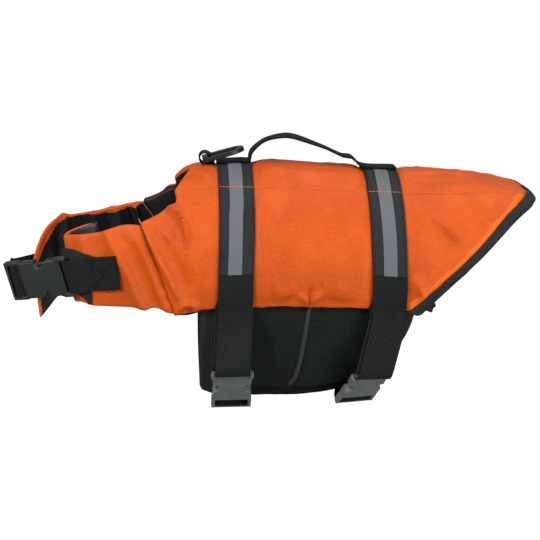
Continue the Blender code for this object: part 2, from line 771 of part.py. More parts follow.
def buckle_female(name, matrix, finish):
    """Shell with a mouth for the latch arms, a window at each side, and a webbing slot."""
    half, thick = BUCKLE_WIDTH / 2, BUCKLE_THICK / 2
    body = block(name, matrix, (FEMALE_MOUTH, -half, -thick), (FEMALE_END, half, thick), finish, 0.0016)
    mouth = block(name + "_mouth", matrix, (FEMALE_MOUTH - 0.01, -CAVITY_HALF, -CAVITY_THICK / 2),
                  (FEMALE_BACK - 0.0080, CAVITY_HALF, CAVITY_THICK / 2))
    slot = block(name + "_slot", matrix, (FEMALE_BACK + 0.0010, -SLOT_HALF, -0.02),
                 (FEMALE_END - BAR, SLOT_HALF, 0.02))
    combine(body, mouth, "DIFFERENCE")
    combine(body, slot, "DIFFERENCE")
    for side in (-1, 1):
        window = cylinder_cutter(name + "_window_%d" % (side > 0), matrix,
                                 (0.0, side * (half + 0.0035), 0), 0.0090, 0.03)
        combine(body, window, "DIFFERENCE")
    # the slot's frame is thinner than the shell
    step = block(name + "_step", matrix, (FEMALE_BACK + 0.0010, -0.03, BAR_TOP), (0.05, 0.03, 0.02))
    under = block(name + "_under", matrix, (FEMALE_BACK + 0.0010, -0.03, -0.02),
                  (0.05, 0.03, BAR_UNDER))
    combine(body, step, "DIFFERENCE")
    combine(body, under, "DIFFERENCE")


def buckle_male(name, matrix, finish):
    """Frame with a webbing slot, two latch arms whose pads fill the windows, and a guide."""
    half, thick = BUCKLE_WIDTH / 2, BUCKLE_THICK / 2 - 0.0008
    base = block(name, matrix, (MALE_END, -half + 0.0006, -thick), (MALE_SHOULDER - GAP, half - 0.0006, thick),
                 finish, 0.0014)
    slot = block(name + "_slot", matrix, (MALE_END + BAR, -SLOT_HALF, -0.02),
                 (MALE_SHOULDER - 0.0038, SLOT_HALF, 0.02))
    combine(base, slot, "DIFFERENCE")
    step = block(name + "_step", matrix, (-0.05, -0.03, BAR_TOP), (MALE_SHOULDER - 0.0038, 0.03, 0.02))
    under = block(name + "_under", matrix, (-0.05, -0.03, -0.02),
                  (MALE_SHOULDER - 0.0038, 0.03, BAR_UNDER))
    combine(base, step, "DIFFERENCE")
    combine(base, under, "DIFFERENCE")
    deep = CAVITY_THICK / 2 - GAP
    for side in (-1, 1):
        low, high = sorted((side * (CAVITY_HALF - GAP - ARM), side * (CAVITY_HALF - GAP)))
        arm = block(name + "_arm_%d" % (side > 0), matrix, (MALE_SHOULDER - 0.002, low, -deep),
                    (0.0105, high, deep))
        combine(base, arm, "UNION")
        pad = cylinder_cutter(name + "_pad_%d" % (side > 0), matrix,
                              (0.0, side * (CAVITY_HALF - 0.0052), 0), 0.0070, 2 * deep - 0.0002)
        combine(base, pad, "UNION")
    guide = block(name + "_guide", matrix, (MALE_SHOULDER - 0.002, -0.0040, -deep), (0.0060, 0.0040, deep))
    combine(base, guide, "UNION")


def buckle(which, matrix, finish):
    buckle_female(which + "_buckle_female", matrix, finish)
    buckle_male(which + "_buckle_male", matrix, finish)


# ---------------------------------------------------------------- neck
NECK_BUCKLE = Vector((-0.2645, -0.0425, -0.0943))
NECK_YAW = 26.0            # turn of the buckle towards the front
NECK_PITCH = 13.0          # its top edge leans out
NECK_DIP = 9.0             # the strap runs down towards the front


def neck_buckle_matrix():
    yaw, pitch, dip = radians(NECK_YAW), radians(NECK_PITCH), radians(NECK_DIP)
    run = Vector((cos(yaw) * cos(dip), -sin(yaw) * cos(dip), sin(dip)))
    face = Vector((-sin(yaw) * cos(pitch), -cos(yaw) * cos(pitch), -sin(pitch)))
    return buckle_matrix(NECK_BUCKLE, run, face)


def flap_frame(table, side, along, down, lift, lean=0.0):
    """Where a strap that is wide up and down lies on a chest flap."""
    reach = 0.20
    low = flap_point(table, side, along + lean, down + reach, 0)
    high = flap_point(table, side, along - lean, down - reach, 0)
    middle = flap_point(table, side, along, down, 0)
    across = (high - low).normalized()
    ahead = flap_point(table, side, min(along + 0.01, 1.0), down, 0)
    out = (ahead - middle).cross(across).normalized()
    if out.y * side < 0:
        out = -out
    bulge = max((middle - low).dot(out), 0.0)
    return Frame((low + high) / 2 + out * (bulge + lift), across, out)


def neck_webbing_left():
    matrix = neck_buckle_matrix()
    up = matrix.to_3x3() @ Vector((0, 1, 0))
    if up.z < 0:
        up = -up
    sewn = [flap_frame(LEFT_FLAP, -1, along, down, 0.0028, lean)
            for along, down, lean in ((0.295, 0.546, 0.022), (0.36, 0.548, 0.020), (0.42, 0.548, 0.016),
                                      (0.48, 0.54, 0.010))]
    free = curve_through([sewn[-1].centre] + [matrix @ spot for spot in reversed(OVER_FEMALE_BAR)], 2)[1:]
    acrosses = [sewn[-1].across.lerp(up, min((i + 1) / 3, 1.0)) for i in range(len(free))]
    frames = sewn + free_frames(free, acrosses, lambda point: Vector((-0.3, -1, 0)))
    ribbon("neck_webbing_left", frames, WEBBING_WIDTH, 0.0, WEBBING, "black webbing")


def neck_webbing_right():
    matrix = neck_buckle_matrix()
    up = matrix.to_3x3() @ Vector((0, 1, 0))
    if up.z < 0:
        up = -up
    sewn = [flap_frame(RIGHT_FLAP, 1, along, down, 0.0018)
            for along, down in ((0.44, 0.58), (0.54, 0.60), (0.64, 0.60), (0.74, 0.59), (0.81, 0.57))]
    free = curve_through([sewn[-1].centre, Vector((-0.2905, 0.0060, -0.1010))]
                         + [matrix @ spot for spot in ROUND_NECK_BAR], 2)[1:]
    acrosses = [sewn[-1].across * (1 - (i + 1) / len(free)) + up * ((i + 1) / len(free))
                for i in range(len(free))]
    frames = sewn + free_frames(free, acrosses, lambda point: Vector((-1, 0.2, 0)))
    ribbon("neck_webbing_right", frames, WEBBING_WIDTH, 0.0, WEBBING, "black webbing")


def loop_patch():
    """Pile patch on the near flap's front end, under the strap, carried round its fold."""
    def place(across, down, face):
        right = mix(0.440, 0.522, (down - 0.20) / 0.76)
        along = mix(right, right + 0.19, across)
        return flap_point(LEFT_FLAP, -1, along, down, 0, 2 * GAP + 0.0013 * face)
    slab("loop_patch", steps(0, 1, 5), steps(0.20, 0.96, 7), place, "black loop pile")


# ---------------------------------------------------------------- spine hardware
RING_BAR = Vector((-0.0970, 0.0, 0.0186))
RING_TILT = 15.0
RING_HALF = 0.0112         # inside half width
RING_ROD = 0.0046          # width of the ring's rod
RING_LENGTH = 0.0407       # from the bar's middle to the bow's outside
TAB_WIDTH = 0.0190
TAB_LOOP = Vector((-0.0974, 0.0, 0.0199))
TAB_INNER = 0.0050         # radius of the tab's loop inside
TAB_THICK = 0.0015

Stop = namedtuple("Stop", "x z")
HANDLE_ROUTE = (
    Stop(-0.0860, 0.0154),
    Stop(-0.0740, 0.0154),
    Stop(-0.0600, 0.0158),
    Stop(-0.0515, 0.0162),
    Stop(-0.0492, 0.0248),
    Stop(-0.0365, 0.0355),
    Stop(-0.0190, 0.0400),
    Stop(-0.0060, 0.0388),
    Stop(0.0130, 0.0320),
    Stop(0.0250, 0.0271),
    Stop(0.0420, 0.0193),
    Stop(0.0520, 0.0178),
    Stop(0.0595, 0.0108),
    Stop(0.0700, 0.0080),
    Stop(0.0850, 0.0074),
    Stop(0.0925, 0.0072),
    Stop(0.0975, 0.0069),
)


def spine_tape(name, points, width, thick, finish):
    """A tape that runs along the spine, wide across it."""
    frames = []
    for i, point in enumerate(points):
        ahead, behind = points[min(i + 1, len(points) - 1)], points[max(i - 1, 0)]
        out = Vector((0, 1, 0)).cross(behind - ahead).normalized()
        frames.append(Frame(point, Vector((0, 1, 0)), out))
    return ribbon(name, frames, width, 0.0, thick, finish, (0.0, 1.0))


def handle():
    points = curve_through([Vector((stop.x, 0, stop.z)) for stop in HANDLE_ROUTE], 2)
    spine_tape("handle", points, HANDLE_WIDTH, HANDLE, "black webbing")


def ring_tab():
    """Webbing loop that holds the ring's bar: under layer, round the loop, upper layer."""
    run = [Vector((0.0098, 0, 0.0002 - TAB_INNER))]
    for i in range(15):
        turn = radians(mix(-90, -300, i / 14))
        run.append(Vector((cos(turn), 0, sin(turn))) * TAB_INNER)
    run += [Vector((0.0062, 0, 0.0020)), Vector((0.0088, 0, -0.0030))]
    spine_tape("ring_tab", [TAB_LOOP + spot for spot in run], TAB_WIDTH, TAB_THICK, "black webbing")


def d_ring():
    """Flat moulded D, turned about its bar."""
    curve = bpy.data.curves.new("d_ring", "CURVE")
    curve.dimensions = "2D"
    curve.fill_mode = "BOTH"
    curve.extrude = RING_ROD / 2 - 0.0010
    curve.bevel_depth = 0.0010
    curve.bevel_resolution = 1

    def outline(half, back, front):
        corner = half * 0.98
        points = [(back, -half), (back, half)]
        for i in range(14):
            turn = radians(mix(90, -90, i / 13))
            points.append((front - corner + corner * cos(turn), half * sin(turn)))
        spline = curve.splines.new("POLY")
        spline.points.add(len(points) - 1)
        for spot, (x, y) in zip(spline.points, points):
            spot.co = (x, y, 0, 1)
        spline.use_cyclic_u = True

    rod = RING_ROD - 0.0010
    outline(RING_HALF + rod, -rod / 2, RING_LENGTH - 0.0010)
    outline(RING_HALF, rod / 2, RING_LENGTH - rod - 0.0010)
    piece = bpy.data.objects.new("d_ring_curve", curve)
    PARTS.objects.link(piece)
    piece.matrix_world = (Matrix.Translation(RING_BAR)
                          @ Matrix.Rotation(radians(-RING_TILT), 4, "Y"))
    bpy.context.view_layer.update()
    mesh = bpy.data.meshes.new_from_object(piece.evaluated_get(bpy.context.evaluated_depsgraph_get()))
    matrix = piece.matrix_world.copy()
    bpy.data.objects.remove(piece, do_unlink=True)
    bm = bmesh.new()
    bm.from_mesh(mesh)
    bmesh.ops.remove_doubles(bm, verts=bm.verts, dist=0.00005)
    bmesh.ops.recalc_face_normals(bm, faces=bm.faces[:])
    bm.to_mesh(mesh)
    bm.free()
    ring = keep("d_ring", mesh, "black plastic")
    ring.matrix_world = matrix


# ---------------------------------------------------------------- the whole jacket
def main():
    spine_pad()
    flap_columns = {-1: [0.0, 0.03, 0.08, 0.16, 0.24, 0.32, 0.40, 0.48, 0.54, 0.60, 0.645, 0.69, 0.73,
                         0.77, 0.82, 0.88, 0.94, 1.0],
                    1: [0.0, 0.03, 0.08, 0.16, 0.27, 0.38, 0.47, 0.56, 0.62, 0.68, 0.74, 0.80, 0.86,
                        0.91, 0.96, 1.0]}
    for side, word, table in ((-1, "left", LEFT_FLAP), (1, "right", RIGHT_FLAP)):
        side_pad("side_pad_" + word, side)
        chest_flap("chest_flap_" + word, table, side, flap_columns[side])
        belly_panel("belly_panel_" + word, side)
        belly_trim("belly_trim_front_" + word, side, 0)
        belly_trim("belly_trim_rear_" + word, side, 1)
        belly_piping("belly_piping_" + word, side)
    rear_binding()
    for which in GIRTHS:
        girth_webbing(which)
        girth_tail(which)
        girth_ribbons(which)
        buckle(which, girth_buckle_matrix(which), "grey plastic")
    buckle("neck", neck_buckle_matrix(), "black plastic")
    neck_webbing_left()
    neck_webbing_right()
    loop_patch()
    handle()
    ring_tab()
    d_ring()


main()
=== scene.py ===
"""Dog life jacket: its cloth, webbing, buckles and thread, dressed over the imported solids.

A place on the jacket is (x, girth): girth is 0 on the spine, -1 and +1 on the two sewn spine
channels, -2 and +2 on the left and right hems. The wearer's left side is -Y. Sizes are in metres.
"""
from collections import namedtuple
from math import asin, cos, exp, pi, radians, sin, sqrt

import bmesh
import bpy
from mathutils import Matrix, Vector, noise


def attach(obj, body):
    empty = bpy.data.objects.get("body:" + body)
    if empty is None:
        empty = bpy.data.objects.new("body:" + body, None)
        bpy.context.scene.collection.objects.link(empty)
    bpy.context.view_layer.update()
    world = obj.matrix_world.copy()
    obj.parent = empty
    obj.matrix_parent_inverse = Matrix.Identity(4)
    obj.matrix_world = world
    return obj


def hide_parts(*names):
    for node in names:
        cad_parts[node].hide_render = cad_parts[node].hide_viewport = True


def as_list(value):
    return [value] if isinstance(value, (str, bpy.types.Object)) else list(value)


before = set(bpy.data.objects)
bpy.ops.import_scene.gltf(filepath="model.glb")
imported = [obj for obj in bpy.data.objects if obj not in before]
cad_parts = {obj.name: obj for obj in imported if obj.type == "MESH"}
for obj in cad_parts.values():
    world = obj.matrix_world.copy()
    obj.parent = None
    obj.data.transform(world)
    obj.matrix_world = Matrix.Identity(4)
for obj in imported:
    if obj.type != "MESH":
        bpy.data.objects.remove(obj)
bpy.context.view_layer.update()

# ---------------------------------------------------------------- cut and sewing sizes
NEAR, FAR = -1, 1          # the wearer's left side, where the buckles are, and the right side
SIDES = ((NEAR, "left"), (FAR, "right"))
PAD = 0.012                # foam with its outer cloth and lining
CHANNEL_DIP = 0.0009       # how far the stitching pulls the cloth in on the spine channels
CHANNEL_PINCH = 0.0032     # and on every other seam and edge
LINING_PINCH = 0.0038
PUFF = 0.024               # from a seam to where the foam has its full thickness
SPINE_HALF = 0.048         # from the spine to a sewn channel
LOWER_DEPTH = 0.118        # below the widest line, where the sides' curve would close underneath
HEM_RADIUS = 0.085
NECK_BACK = -0.1110        # ends of the back panel on the spine
TAIL = 0.2350
BACK_LENGTH = 0.345
SIDE_LENGTH = 0.33
SIDE_DEPTH = 0.107         # from the spine channel to the hem
CHANNEL_TOP = 0.323        # part of that depth at which the chest channel starts
HEM_PEEP = 0.016           # how far round the lining shows below the hem
REAR_SLANT = 0.75          # a step along x near the rear edge, measured square to that edge
FRONT_SLANT = 0.92
FLAP_LENGTHS = {NEAR: 0.112, FAR: 0.124}
FLAP_DEPTH = 0.072
FLAP_DEEPEST = 0.075
FLAP_END = 0.005           # thickness of a flap's free end
FAR_CORNER_X = -0.2460     # corner in the right flap's top edge
FLAP_BLEND = 0.12
TURNED = 0.0030            # outer cloth turned in over the lining on the flaps
TURNED_BACK = 0.0006       # and at the back panel's neck edge
BINDING_WIDTH = 0.009
BINDING_OUTSIDE = BINDING_WIDTH * 0.82
BIAS_WIDTH = 0.028         # the rear binding's tape, laid flat
BIAS_LENGTH = 0.115        # of it, for one step of girth
TAPE = 0.0010
BELLY = 0.0030
BELLY_HALF = 0.0665
BELLY_TOP = -0.106
BELLY_UNDERLAP = 0.0050
BELLY_RADIUS = 0.095
BELLY_SIDE = 86.0          # degrees up from the keel, where the belly panel passes under the hem
BELLY_LEFT_END = -31.0     # closing edges of its left and right halves
BELLY_RIGHT_END = -54.0
TRIM_START = BELLY_LEFT_END + 3.5
WEBBING_WIDTH = 0.035
WEBBING = 0.0014
RIBBON_WIDTH = 0.034
RIBBON = 0.0008
STRIPE_WIDTH = 0.0135
STRIPE = 0.0005
CLEAR = 0.0005             # between the webbing and the cloth under it
RIBBON_END = 1.746         # girth of the ribbon's lower end
HANDLE_WIDTH = 0.025
HANDLE = 0.0024

Station = namedtuple("Station", "x top widest half square")
STATIONS = (               # sections of the torso; square 2 is an ellipse, and more is boxier
    Station(-0.118, 0.0140, -0.0840, 0.0815, 2.10),
    Station(-0.092, 0.0133, -0.0835, 0.0822, 2.08),
    Station(-0.068, 0.0118, -0.0830, 0.0818, 2.02),
    Station(-0.050, 0.0137, -0.0830, 0.0822, 1.98),
    Station(-0.032, 0.0163, -0.0830, 0.0830, 1.96),
    Station(0.000, 0.0147, -0.0840, 0.0832, 1.95),
    Station(0.050, 0.0097, -0.0850, 0.0831, 2.00),
    Station(0.064, 0.0060, -0.0853, 0.0824, 2.01),
    Station(0.080, 0.0040, -0.0855, 0.0820, 2.02),
    Station(0.096, 0.0041, -0.0858, 0.0822, 2.04),
    Station(0.112, 0.0054, -0.0862, 0.0826, 2.07),
    Station(0.155, 0.0025, -0.0880, 0.0812, 2.30),
    Station(0.197, -0.0025, -0.0900, 0.0790, 2.80),
    Station(0.219, -0.0085, -0.0915, 0.0775, 3.50),
    Station(0.234, -0.0128, -0.0920, 0.0765, 4.60),
)
Edge = namedtuple("Edge", "down x")
NECK_EDGE = (              # down is the part of the side's depth, from its channel to its hem
    Edge(0.000, -0.1285),
    Edge(0.135, -0.1280),
    Edge(0.190, -0.1370),
    Edge(0.260, -0.1490),
    Edge(0.323, -0.1630),
)
CHANNEL_ENDS = (-0.1630, -0.1310)      # of the chest channel, at its top and at the hem
REAR_EDGE = (
    Edge(0.000, 0.2325),
    Edge(0.220, 0.2208),
    Edge(0.450, 0.1972),
    Edge(0.620, 0.1738),
    Edge(0.750, 0.1500),
    Edge(0.870, 0.1306),
    Edge(1.000, 0.1125),
)
Hem = namedtuple("Hem", "x angle")     # degrees round from the spine
HEM = (Hem(-0.118, 111.3), Hem(-0.098, 109.0), Hem(0.088, 109.5), Hem(0.114, 113.0))

Flap = namedtuple("Flap", "along x_top x_hem top_angle hem_angle half thick")
FLAPS = {                  # along runs forward from the chest channel to the free end
    NEAR: (
        Flap(0.00, -0.1630, -0.1310, 60.6, 111.3, 0.0815, 0.0050),
        Flap(0.16, -0.1810, -0.1500, 61.5, 108.3, 0.0775, 0.0090),
        Flap(0.32, -0.2000, -0.1780, 66.1, 107.8, 0.0705, 0.0080),
        Flap(0.48, -0.2190, -0.2050, 68.7, 107.8, 0.0615, 0.0062),
        Flap(0.60, -0.2320, -0.2205, 69.9, 108.4, 0.0540, 0.0050),
        Flap(0.69, -0.2395, -0.2305, 70.6, 109.0, 0.0475, 0.0045),
        Flap(0.77, -0.2365, -0.2275, 69.6, 108.4, 0.0400, 0.0045),
        Flap(0.88, -0.2210, -0.2115, 66.0, 105.0, 0.0375, 0.0045),
        Flap(1.00, -0.2050, -0.1970, 63.5, 102.7, 0.0405, 0.0045),
    ),
    FAR: (
        Flap(0.00, -0.1630, -0.1310, 60.6, 111.3, 0.0815, 0.0050),
        Flap(0.16, -0.1810, -0.1500, 63.0, 108.8, 0.0785, 0.0090),
        Flap(0.38, -0.2120, -0.1880, 66.8, 107.8, 0.0685, 0.0080),
        Flap(0.56, -0.2370, -0.2180, 68.6, 108.3, 0.0580, 0.0064),
        Flap(0.68, -0.2520, -0.2400, 69.3, 110.6, 0.0480, 0.0055),
        Flap(0.80, -0.2650, -0.2550, 75.5, 113.8, 0.0370, 0.0050),
        Flap(0.91, -0.2735, -0.2655, 84.5, 119.8, 0.0270, 0.0050),
        Flap(1.00, -0.2785, -0.2725, 93.0, 123.8, 0.0190, 0.0050),
    ),
}
Keel = namedtuple("Keel", "x depth")
KEEL = (                   # how deep the belly panel hangs in its middle
    Keel(-0.110, 0.1150),
    Keel(-0.092, 0.1225),
    Keel(-0.070, 0.1258),
    Keel(-0.040, 0.1268),
    Keel(0.020, 0.1255),
    Keel(0.060, 0.1172),
    Keel(0.090, 0.1050),
    Keel(0.120, 0.0900),
)
Cut = namedtuple("Cut", "swing front rear")
BELLY_CUT = (              # the belly panel's front and rear edges
    Cut(BELLY_SIDE, -0.1035, 0.1095),
    Cut(70.0, -0.1040, 0.1075),
    Cut(55.0, -0.1045, 0.0990),
    Cut(40.0, -0.1045, 0.0850),
    Cut(20.0, -0.1040, 0.0722),
    Cut(0.0, -0.1040, 0.0672),
)


# ---------------------------------------------------------------- curves through the tables
def read(table, at, field):
    """One column of a table at a place between its rows, on a smooth curve."""
    key = table[0]._fields[0]
    places = [getattr(row, key) for row in table]
    values = [getattr(row, field) for row in table]
    if places[0] > places[-1]:
        places, values = places[::-1], values[::-1]
    if at <= places[0]:
        return values[0]
    if at >= places[-1]:
        return values[-1]
    i = max(k for k in range(len(places) - 1) if places[k] <= at)

    def slope(k):
        low, high = max(k - 1, 0), min(k + 1, len(places) - 1)
        return (values[high] - values[low]) / (places[high] - places[low])

    span = places[i + 1] - places[i]
    t = (at - places[i]) / span
    return (values[i] * (1 + 2 * t) * (1 - t) ** 2 + slope(i) * span * t * (1 - t) ** 2
            + values[i + 1] * t * t * (3 - 2 * t) - slope(i + 1) * span * t * t * (1 - t))


def mix(a, b, t):
    return a + (b - a) * t


def smooth(t):
    t = min(max(t, 0.0), 1.0)
    return t * t * (3 - 2 * t)


def steps(low, high, count):
    return [mix(low, high, i / count) for i in range(count + 1)]


RIM = (0.0, 0.0003, 0.0008, 0.0015, 0.0025)


def fine_ends(low, high, size, step):
    """Places from low to high for a run of a real size, closer together at both ends."""
    count = max(2, round((size - 2 * RIM[-1]) / step))
    inside = steps(RIM[-1], size - RIM[-1], count)[1:-1]
    places = [*RIM, *inside, *(size - r for r in reversed(RIM))]
    return [mix(low, high, place / size) for place in places]


def curve_through(points, count):
    """A smooth run of points through a few given ones."""
    run = []
    for i in range(len(points) - 1):
        before, after = points[max(i - 1, 0)], points[min(i + 2, len(points) - 1)]
        start, end = points[i], points[i + 1]
        leave, arrive = (end - before) / 2, (after - start) / 2
        for k in range(count):
            t = k / count
            run.append(start * (1 + 2 * t) * (1 - t) ** 2 + leave * t * (1 - t) ** 2
                       + end * t * t * (3 - 2 * t) - arrive * t * t * (1 - t))
    run.append(points[-1])
    return run


# ---------------------------------------------------------------- the jacket's own surface
def seam_angle(x):
    half = read(STATIONS, x, "half")
    return asin((SPINE_HALF / half) ** (read(STATIONS, x, "square") / 2))


def hem_angle(x):
    return radians(read(HEM, x, "angle"))


def side_of_section(angle, top, widest, half, square, side):
    y = half * sin(angle) ** (2 / square)
    if cos(angle) > 0:
        z = widest + (top - widest) * cos(angle) ** (2 / square)
    else:
        z = widest + LOWER_DEPTH * cos(angle)
    return (y if side > 0 else -y), z


def form(x, girth):
    """A point on the jacket's plain form, before seams, folds and the pad's thickness."""
    top, widest = read(STATIONS, x, "top"), read(STATIONS, x, "widest")
    half, square = read(STATIONS, x, "half"), read(STATIONS, x, "square")
    if abs(girth) <= 1:
        y = girth * SPINE_HALF
        arch = (1 - (abs(y) / half) ** square) ** (1 / square)
        return Vector((x, y, widest + (top - widest) * arch))
    angle = mix(seam_angle(x), hem_angle(x), abs(girth) - 1)
    return Vector((x, *side_of_section(angle, top, widest, half, square, girth)))


def form_normal(x, girth):
    edge = 1.0 if abs(girth) <= 1 else 2.0
    low, high = (-1.0, 1.0) if edge == 1.0 else ((1.0, 2.0) if girth > 0 else (-2.0, -1.0))
    step = 2e-3
    girth = min(max(girth, low), high)
    g0, g1 = max(girth - step, low), min(girth + step, high)
    along = form(x + 5e-4, girth) - form(x - 5e-4, girth)
    around = form(x, g1) - form(x, g0)
    return along.cross(around).normalized()


def front_x(down):
    if down >= CHANNEL_TOP:
        return mix(*CHANNEL_ENDS, (down - CHANNEL_TOP) / (1 - CHANNEL_TOP))
    return read(NECK_EDGE, down, "x")


def rear_x(down):
    return read(REAR_EDGE, down, "x")


def back_front_x(girth):
    return mix(NECK_BACK, NECK_EDGE[0].x, abs(girth) ** 1.6)


def back_rear_x(girth):
    return mix(TAIL, REAR_EDGE[0].x, girth * girth)


def puff(distance):
    return 1 - (1 - min(max(distance, 0.0) / PUFF, 1.0)) ** 2


def seam_pull(x, girth):
    """How far the nearest seam or edge pulls the outer cloth in."""
    down = abs(girth) - 1
    if down <= 0:
        seams = ((CHANNEL_DIP, -down * SPINE_HALF), (CHANNEL_PINCH, back_rear_x(girth) - x),
                 (CHANNEL_PINCH, x - back_front_x(girth)))
    else:
        spread = HEM_RADIUS * (hem_angle(x) - seam_angle(x))
        seams = ((CHANNEL_DIP, down * spread), (CHANNEL_PINCH, (1 - down) * spread),
                 (CHANNEL_PINCH, (rear_x(down) - x) * REAR_SLANT),
                 (CHANNEL_PINCH, (x - front_x(down)) * FRONT_SLANT))
    return max(dip * (1 - puff(away)) for dip, away in seams)


def outer(x, girth, lift=0.0):
    """A point on the outer cloth."""
    return form(x, girth) + form_normal(x, girth) * (lift - seam_pull(x, girth))


def inner(x, girth, lift=0.0):
    """A point on the lining; lift goes inwards."""
    rise = LINING_PINCH / CHANNEL_PINCH * seam_pull(x, girth)
    return form(x, girth) - form_normal(x, girth) * (PAD - rise + lift)


def flap_form(side, along, down):
    table = FLAPS[side]
    angle = radians(mix(read(table, along, "top_angle"), read(table, along, "hem_angle"), down))
    x = mix(read(table, along, "x_top"), read(table, along, "x_hem"), down)
    neck = STATIONS[0]
    half = read(table, along, "half")
    return Vector((x, *side_of_section(angle, neck.top, neck.widest, half, neck.square, side)))


def flap_normal(side, along, down):
    step = 1e-3
    u0, u1 = max(along - step, 0.0), min(along + step, 1.0)
    v0, v1 = max(down - step, 0.0), min(down + step, 1.0)
    normal = (flap_form(side, u1, down) - flap_form(side, u0, down)).cross(
        flap_form(side, along, v1) - flap_form(side, along, v0)).normalized() * -side
    if along < FLAP_BLEND:
        seam = form_normal(STATIONS[0].x - 0.01, side * (1 + mix(CHANNEL_TOP, 1.0, down)))
        normal = seam.lerp(normal, smooth(along / FLAP_BLEND)).normalized()
    return normal


def flap_point(side, along, down, depth, lift=0.0):
    """A point on a chest flap: depth 0 on its outer face, 1 on its lining."""
    thick = read(FLAPS[side], along, "thick")
    slim = 0.0
    if thick > FLAP_END:
        slim = (1 - puff(min(down, 1 - down) * FLAP_DEEPEST)) * (thick - FLAP_END) * 0.6
    pull = CHANNEL_PINCH * (1 - puff(along * 0.11))
    return flap_form(side, along, down) + flap_normal(side, along, down) * (
        lift - pull - slim * 0.5 - depth * (thick - slim))


def belly_point(x, swing, lift=0.0):
    """The belly panel's outer face. swing is the angle up from the keel, negative on the left."""
    turn = radians(swing)
    depth = read(KEEL, x, "depth")
    out = Vector((0, sin(turn) / BELLY_HALF, -cos(turn) / depth)).normalized()
    return Vector((x, BELLY_HALF * sin(turn), BELLY_TOP - depth * cos(turn))) + out * lift


def belly_x(swing, along):
    """x at a part of the way back, 0 on the belly panel's front edge and 1 on its rear one."""
    swing = abs(swing)
    return mix(read(BELLY_CUT, swing, "front"), read(BELLY_CUT, swing, "rear"), along)


def belly_shift(side, swing):
    """How far the right half sinks to pass under the left one."""
    return BELLY_UNDERLAP * smooth((-8.0 - swing) / 16.0) if side > 0 else 0.0


# ---------------------------------------------------------------- finishes
def wire(tree, kind, inputs=(), **settings):
    """A shader node with its settings, and its inputs set or linked by name or number."""
    node = tree.nodes.new("ShaderNode" + kind)
    for key, value in settings.items():
        setattr(node, key, value)
    for key, value in dict(inputs).items():
        socket = node.inputs[key]
        if isinstance(value, bpy.types.NodeSocket):
            tree.links.new(value, socket)
        else:
            socket.default_value = value
    return node


def sums(tree, how, *values):
    """A Math node's result."""
    return wire(tree, "Math", enumerate(values), operation=how).outputs[0]


def threads(tree, along, pitch):
    """A rounded rib across one direction of the cloth, 0 in the groove and 1 on the rib."""
    wave = sums(tree, "SINE", sums(tree, "MULTIPLY", along, 2 * pi / pitch))
    return sums(tree, "MULTIPLY_ADD", wave, 0.5, 0.5)


def cells(tree, place, wide, long):
    """Webbing's face: rows of short rounded floats, every second row half a float along."""
    across = sums(tree, "MULTIPLY", place.outputs[0], 1 / wide)
    half_float = sums(tree, "MULTIPLY", sums(tree, "FLOOR", across), 0.5)
    along = sums(tree, "MULTIPLY_ADD", place.outputs[1], 1 / long, half_float)
    rib, bar = (sums(tree, "PINGPONG", sums(tree, "MULTIPLY", way, 2.0), 1.0)
                for way in (across, along))
    return sums(tree, "MULTIPLY", sums(tree, "POWER", rib, 0.55), sums(tree, "POWER", bar, 0.7))


def noise_on(tree, where, scale, detail, **more):
    """Uneven marks; more gives a Noise Texture's other inputs."""
    inputs = {"Vector": where, "Scale": scale, "Detail": detail, **more}
    return wire(tree, "TexNoise", inputs).outputs[0]


def new_finish(name, specular):
    """A new material, its node tree, its shader and its Object coordinates."""
    made = bpy.data.materials.new(name)
    made.use_nodes = True
    tree = made.node_tree
    shader = tree.nodes["Principled BSDF"]
    shader.inputs["Specular IOR Level"].default_value = specular
    return made, tree, shader, wire(tree, "TexCoord").outputs["Object"]


def two_tones(tree, shader, level, dark, light, low, high):
    """The colour, dark where level is at low and light where it is at high."""
    ramp = wire(tree, "ValToRGB", {0: level})
    ends = ramp.color_ramp.elements
    ends[0].position, ends[1].position = low, high
    ends[0].color, ends[1].color = (*dark, 1.0), (*light, 1.0)
    tree.links.new(ramp.outputs[0], shader.inputs["Base Color"])


def rubbed(tree, shader, level, rough, spread):
    """The roughness, which falls as level rises."""
    satin = wire(tree, "MapRange", {0: level, 1: 0.3, 2: 0.7, 3: rough + spread, 4: rough - spread})
    tree.links.new(satin.outputs[0], shader.inputs["Roughness"])


def embossed(tree, shader, height, distance, strength, **under):
    """The small relief; under may give the Normal that it lies on."""
    bump = wire(tree, "Bump", {"Strength": strength, "Distance": distance, "Height": height, **under})
    tree.links.new(bump.outputs[0], shader.inputs["Normal"])
    return bump.outputs[0]


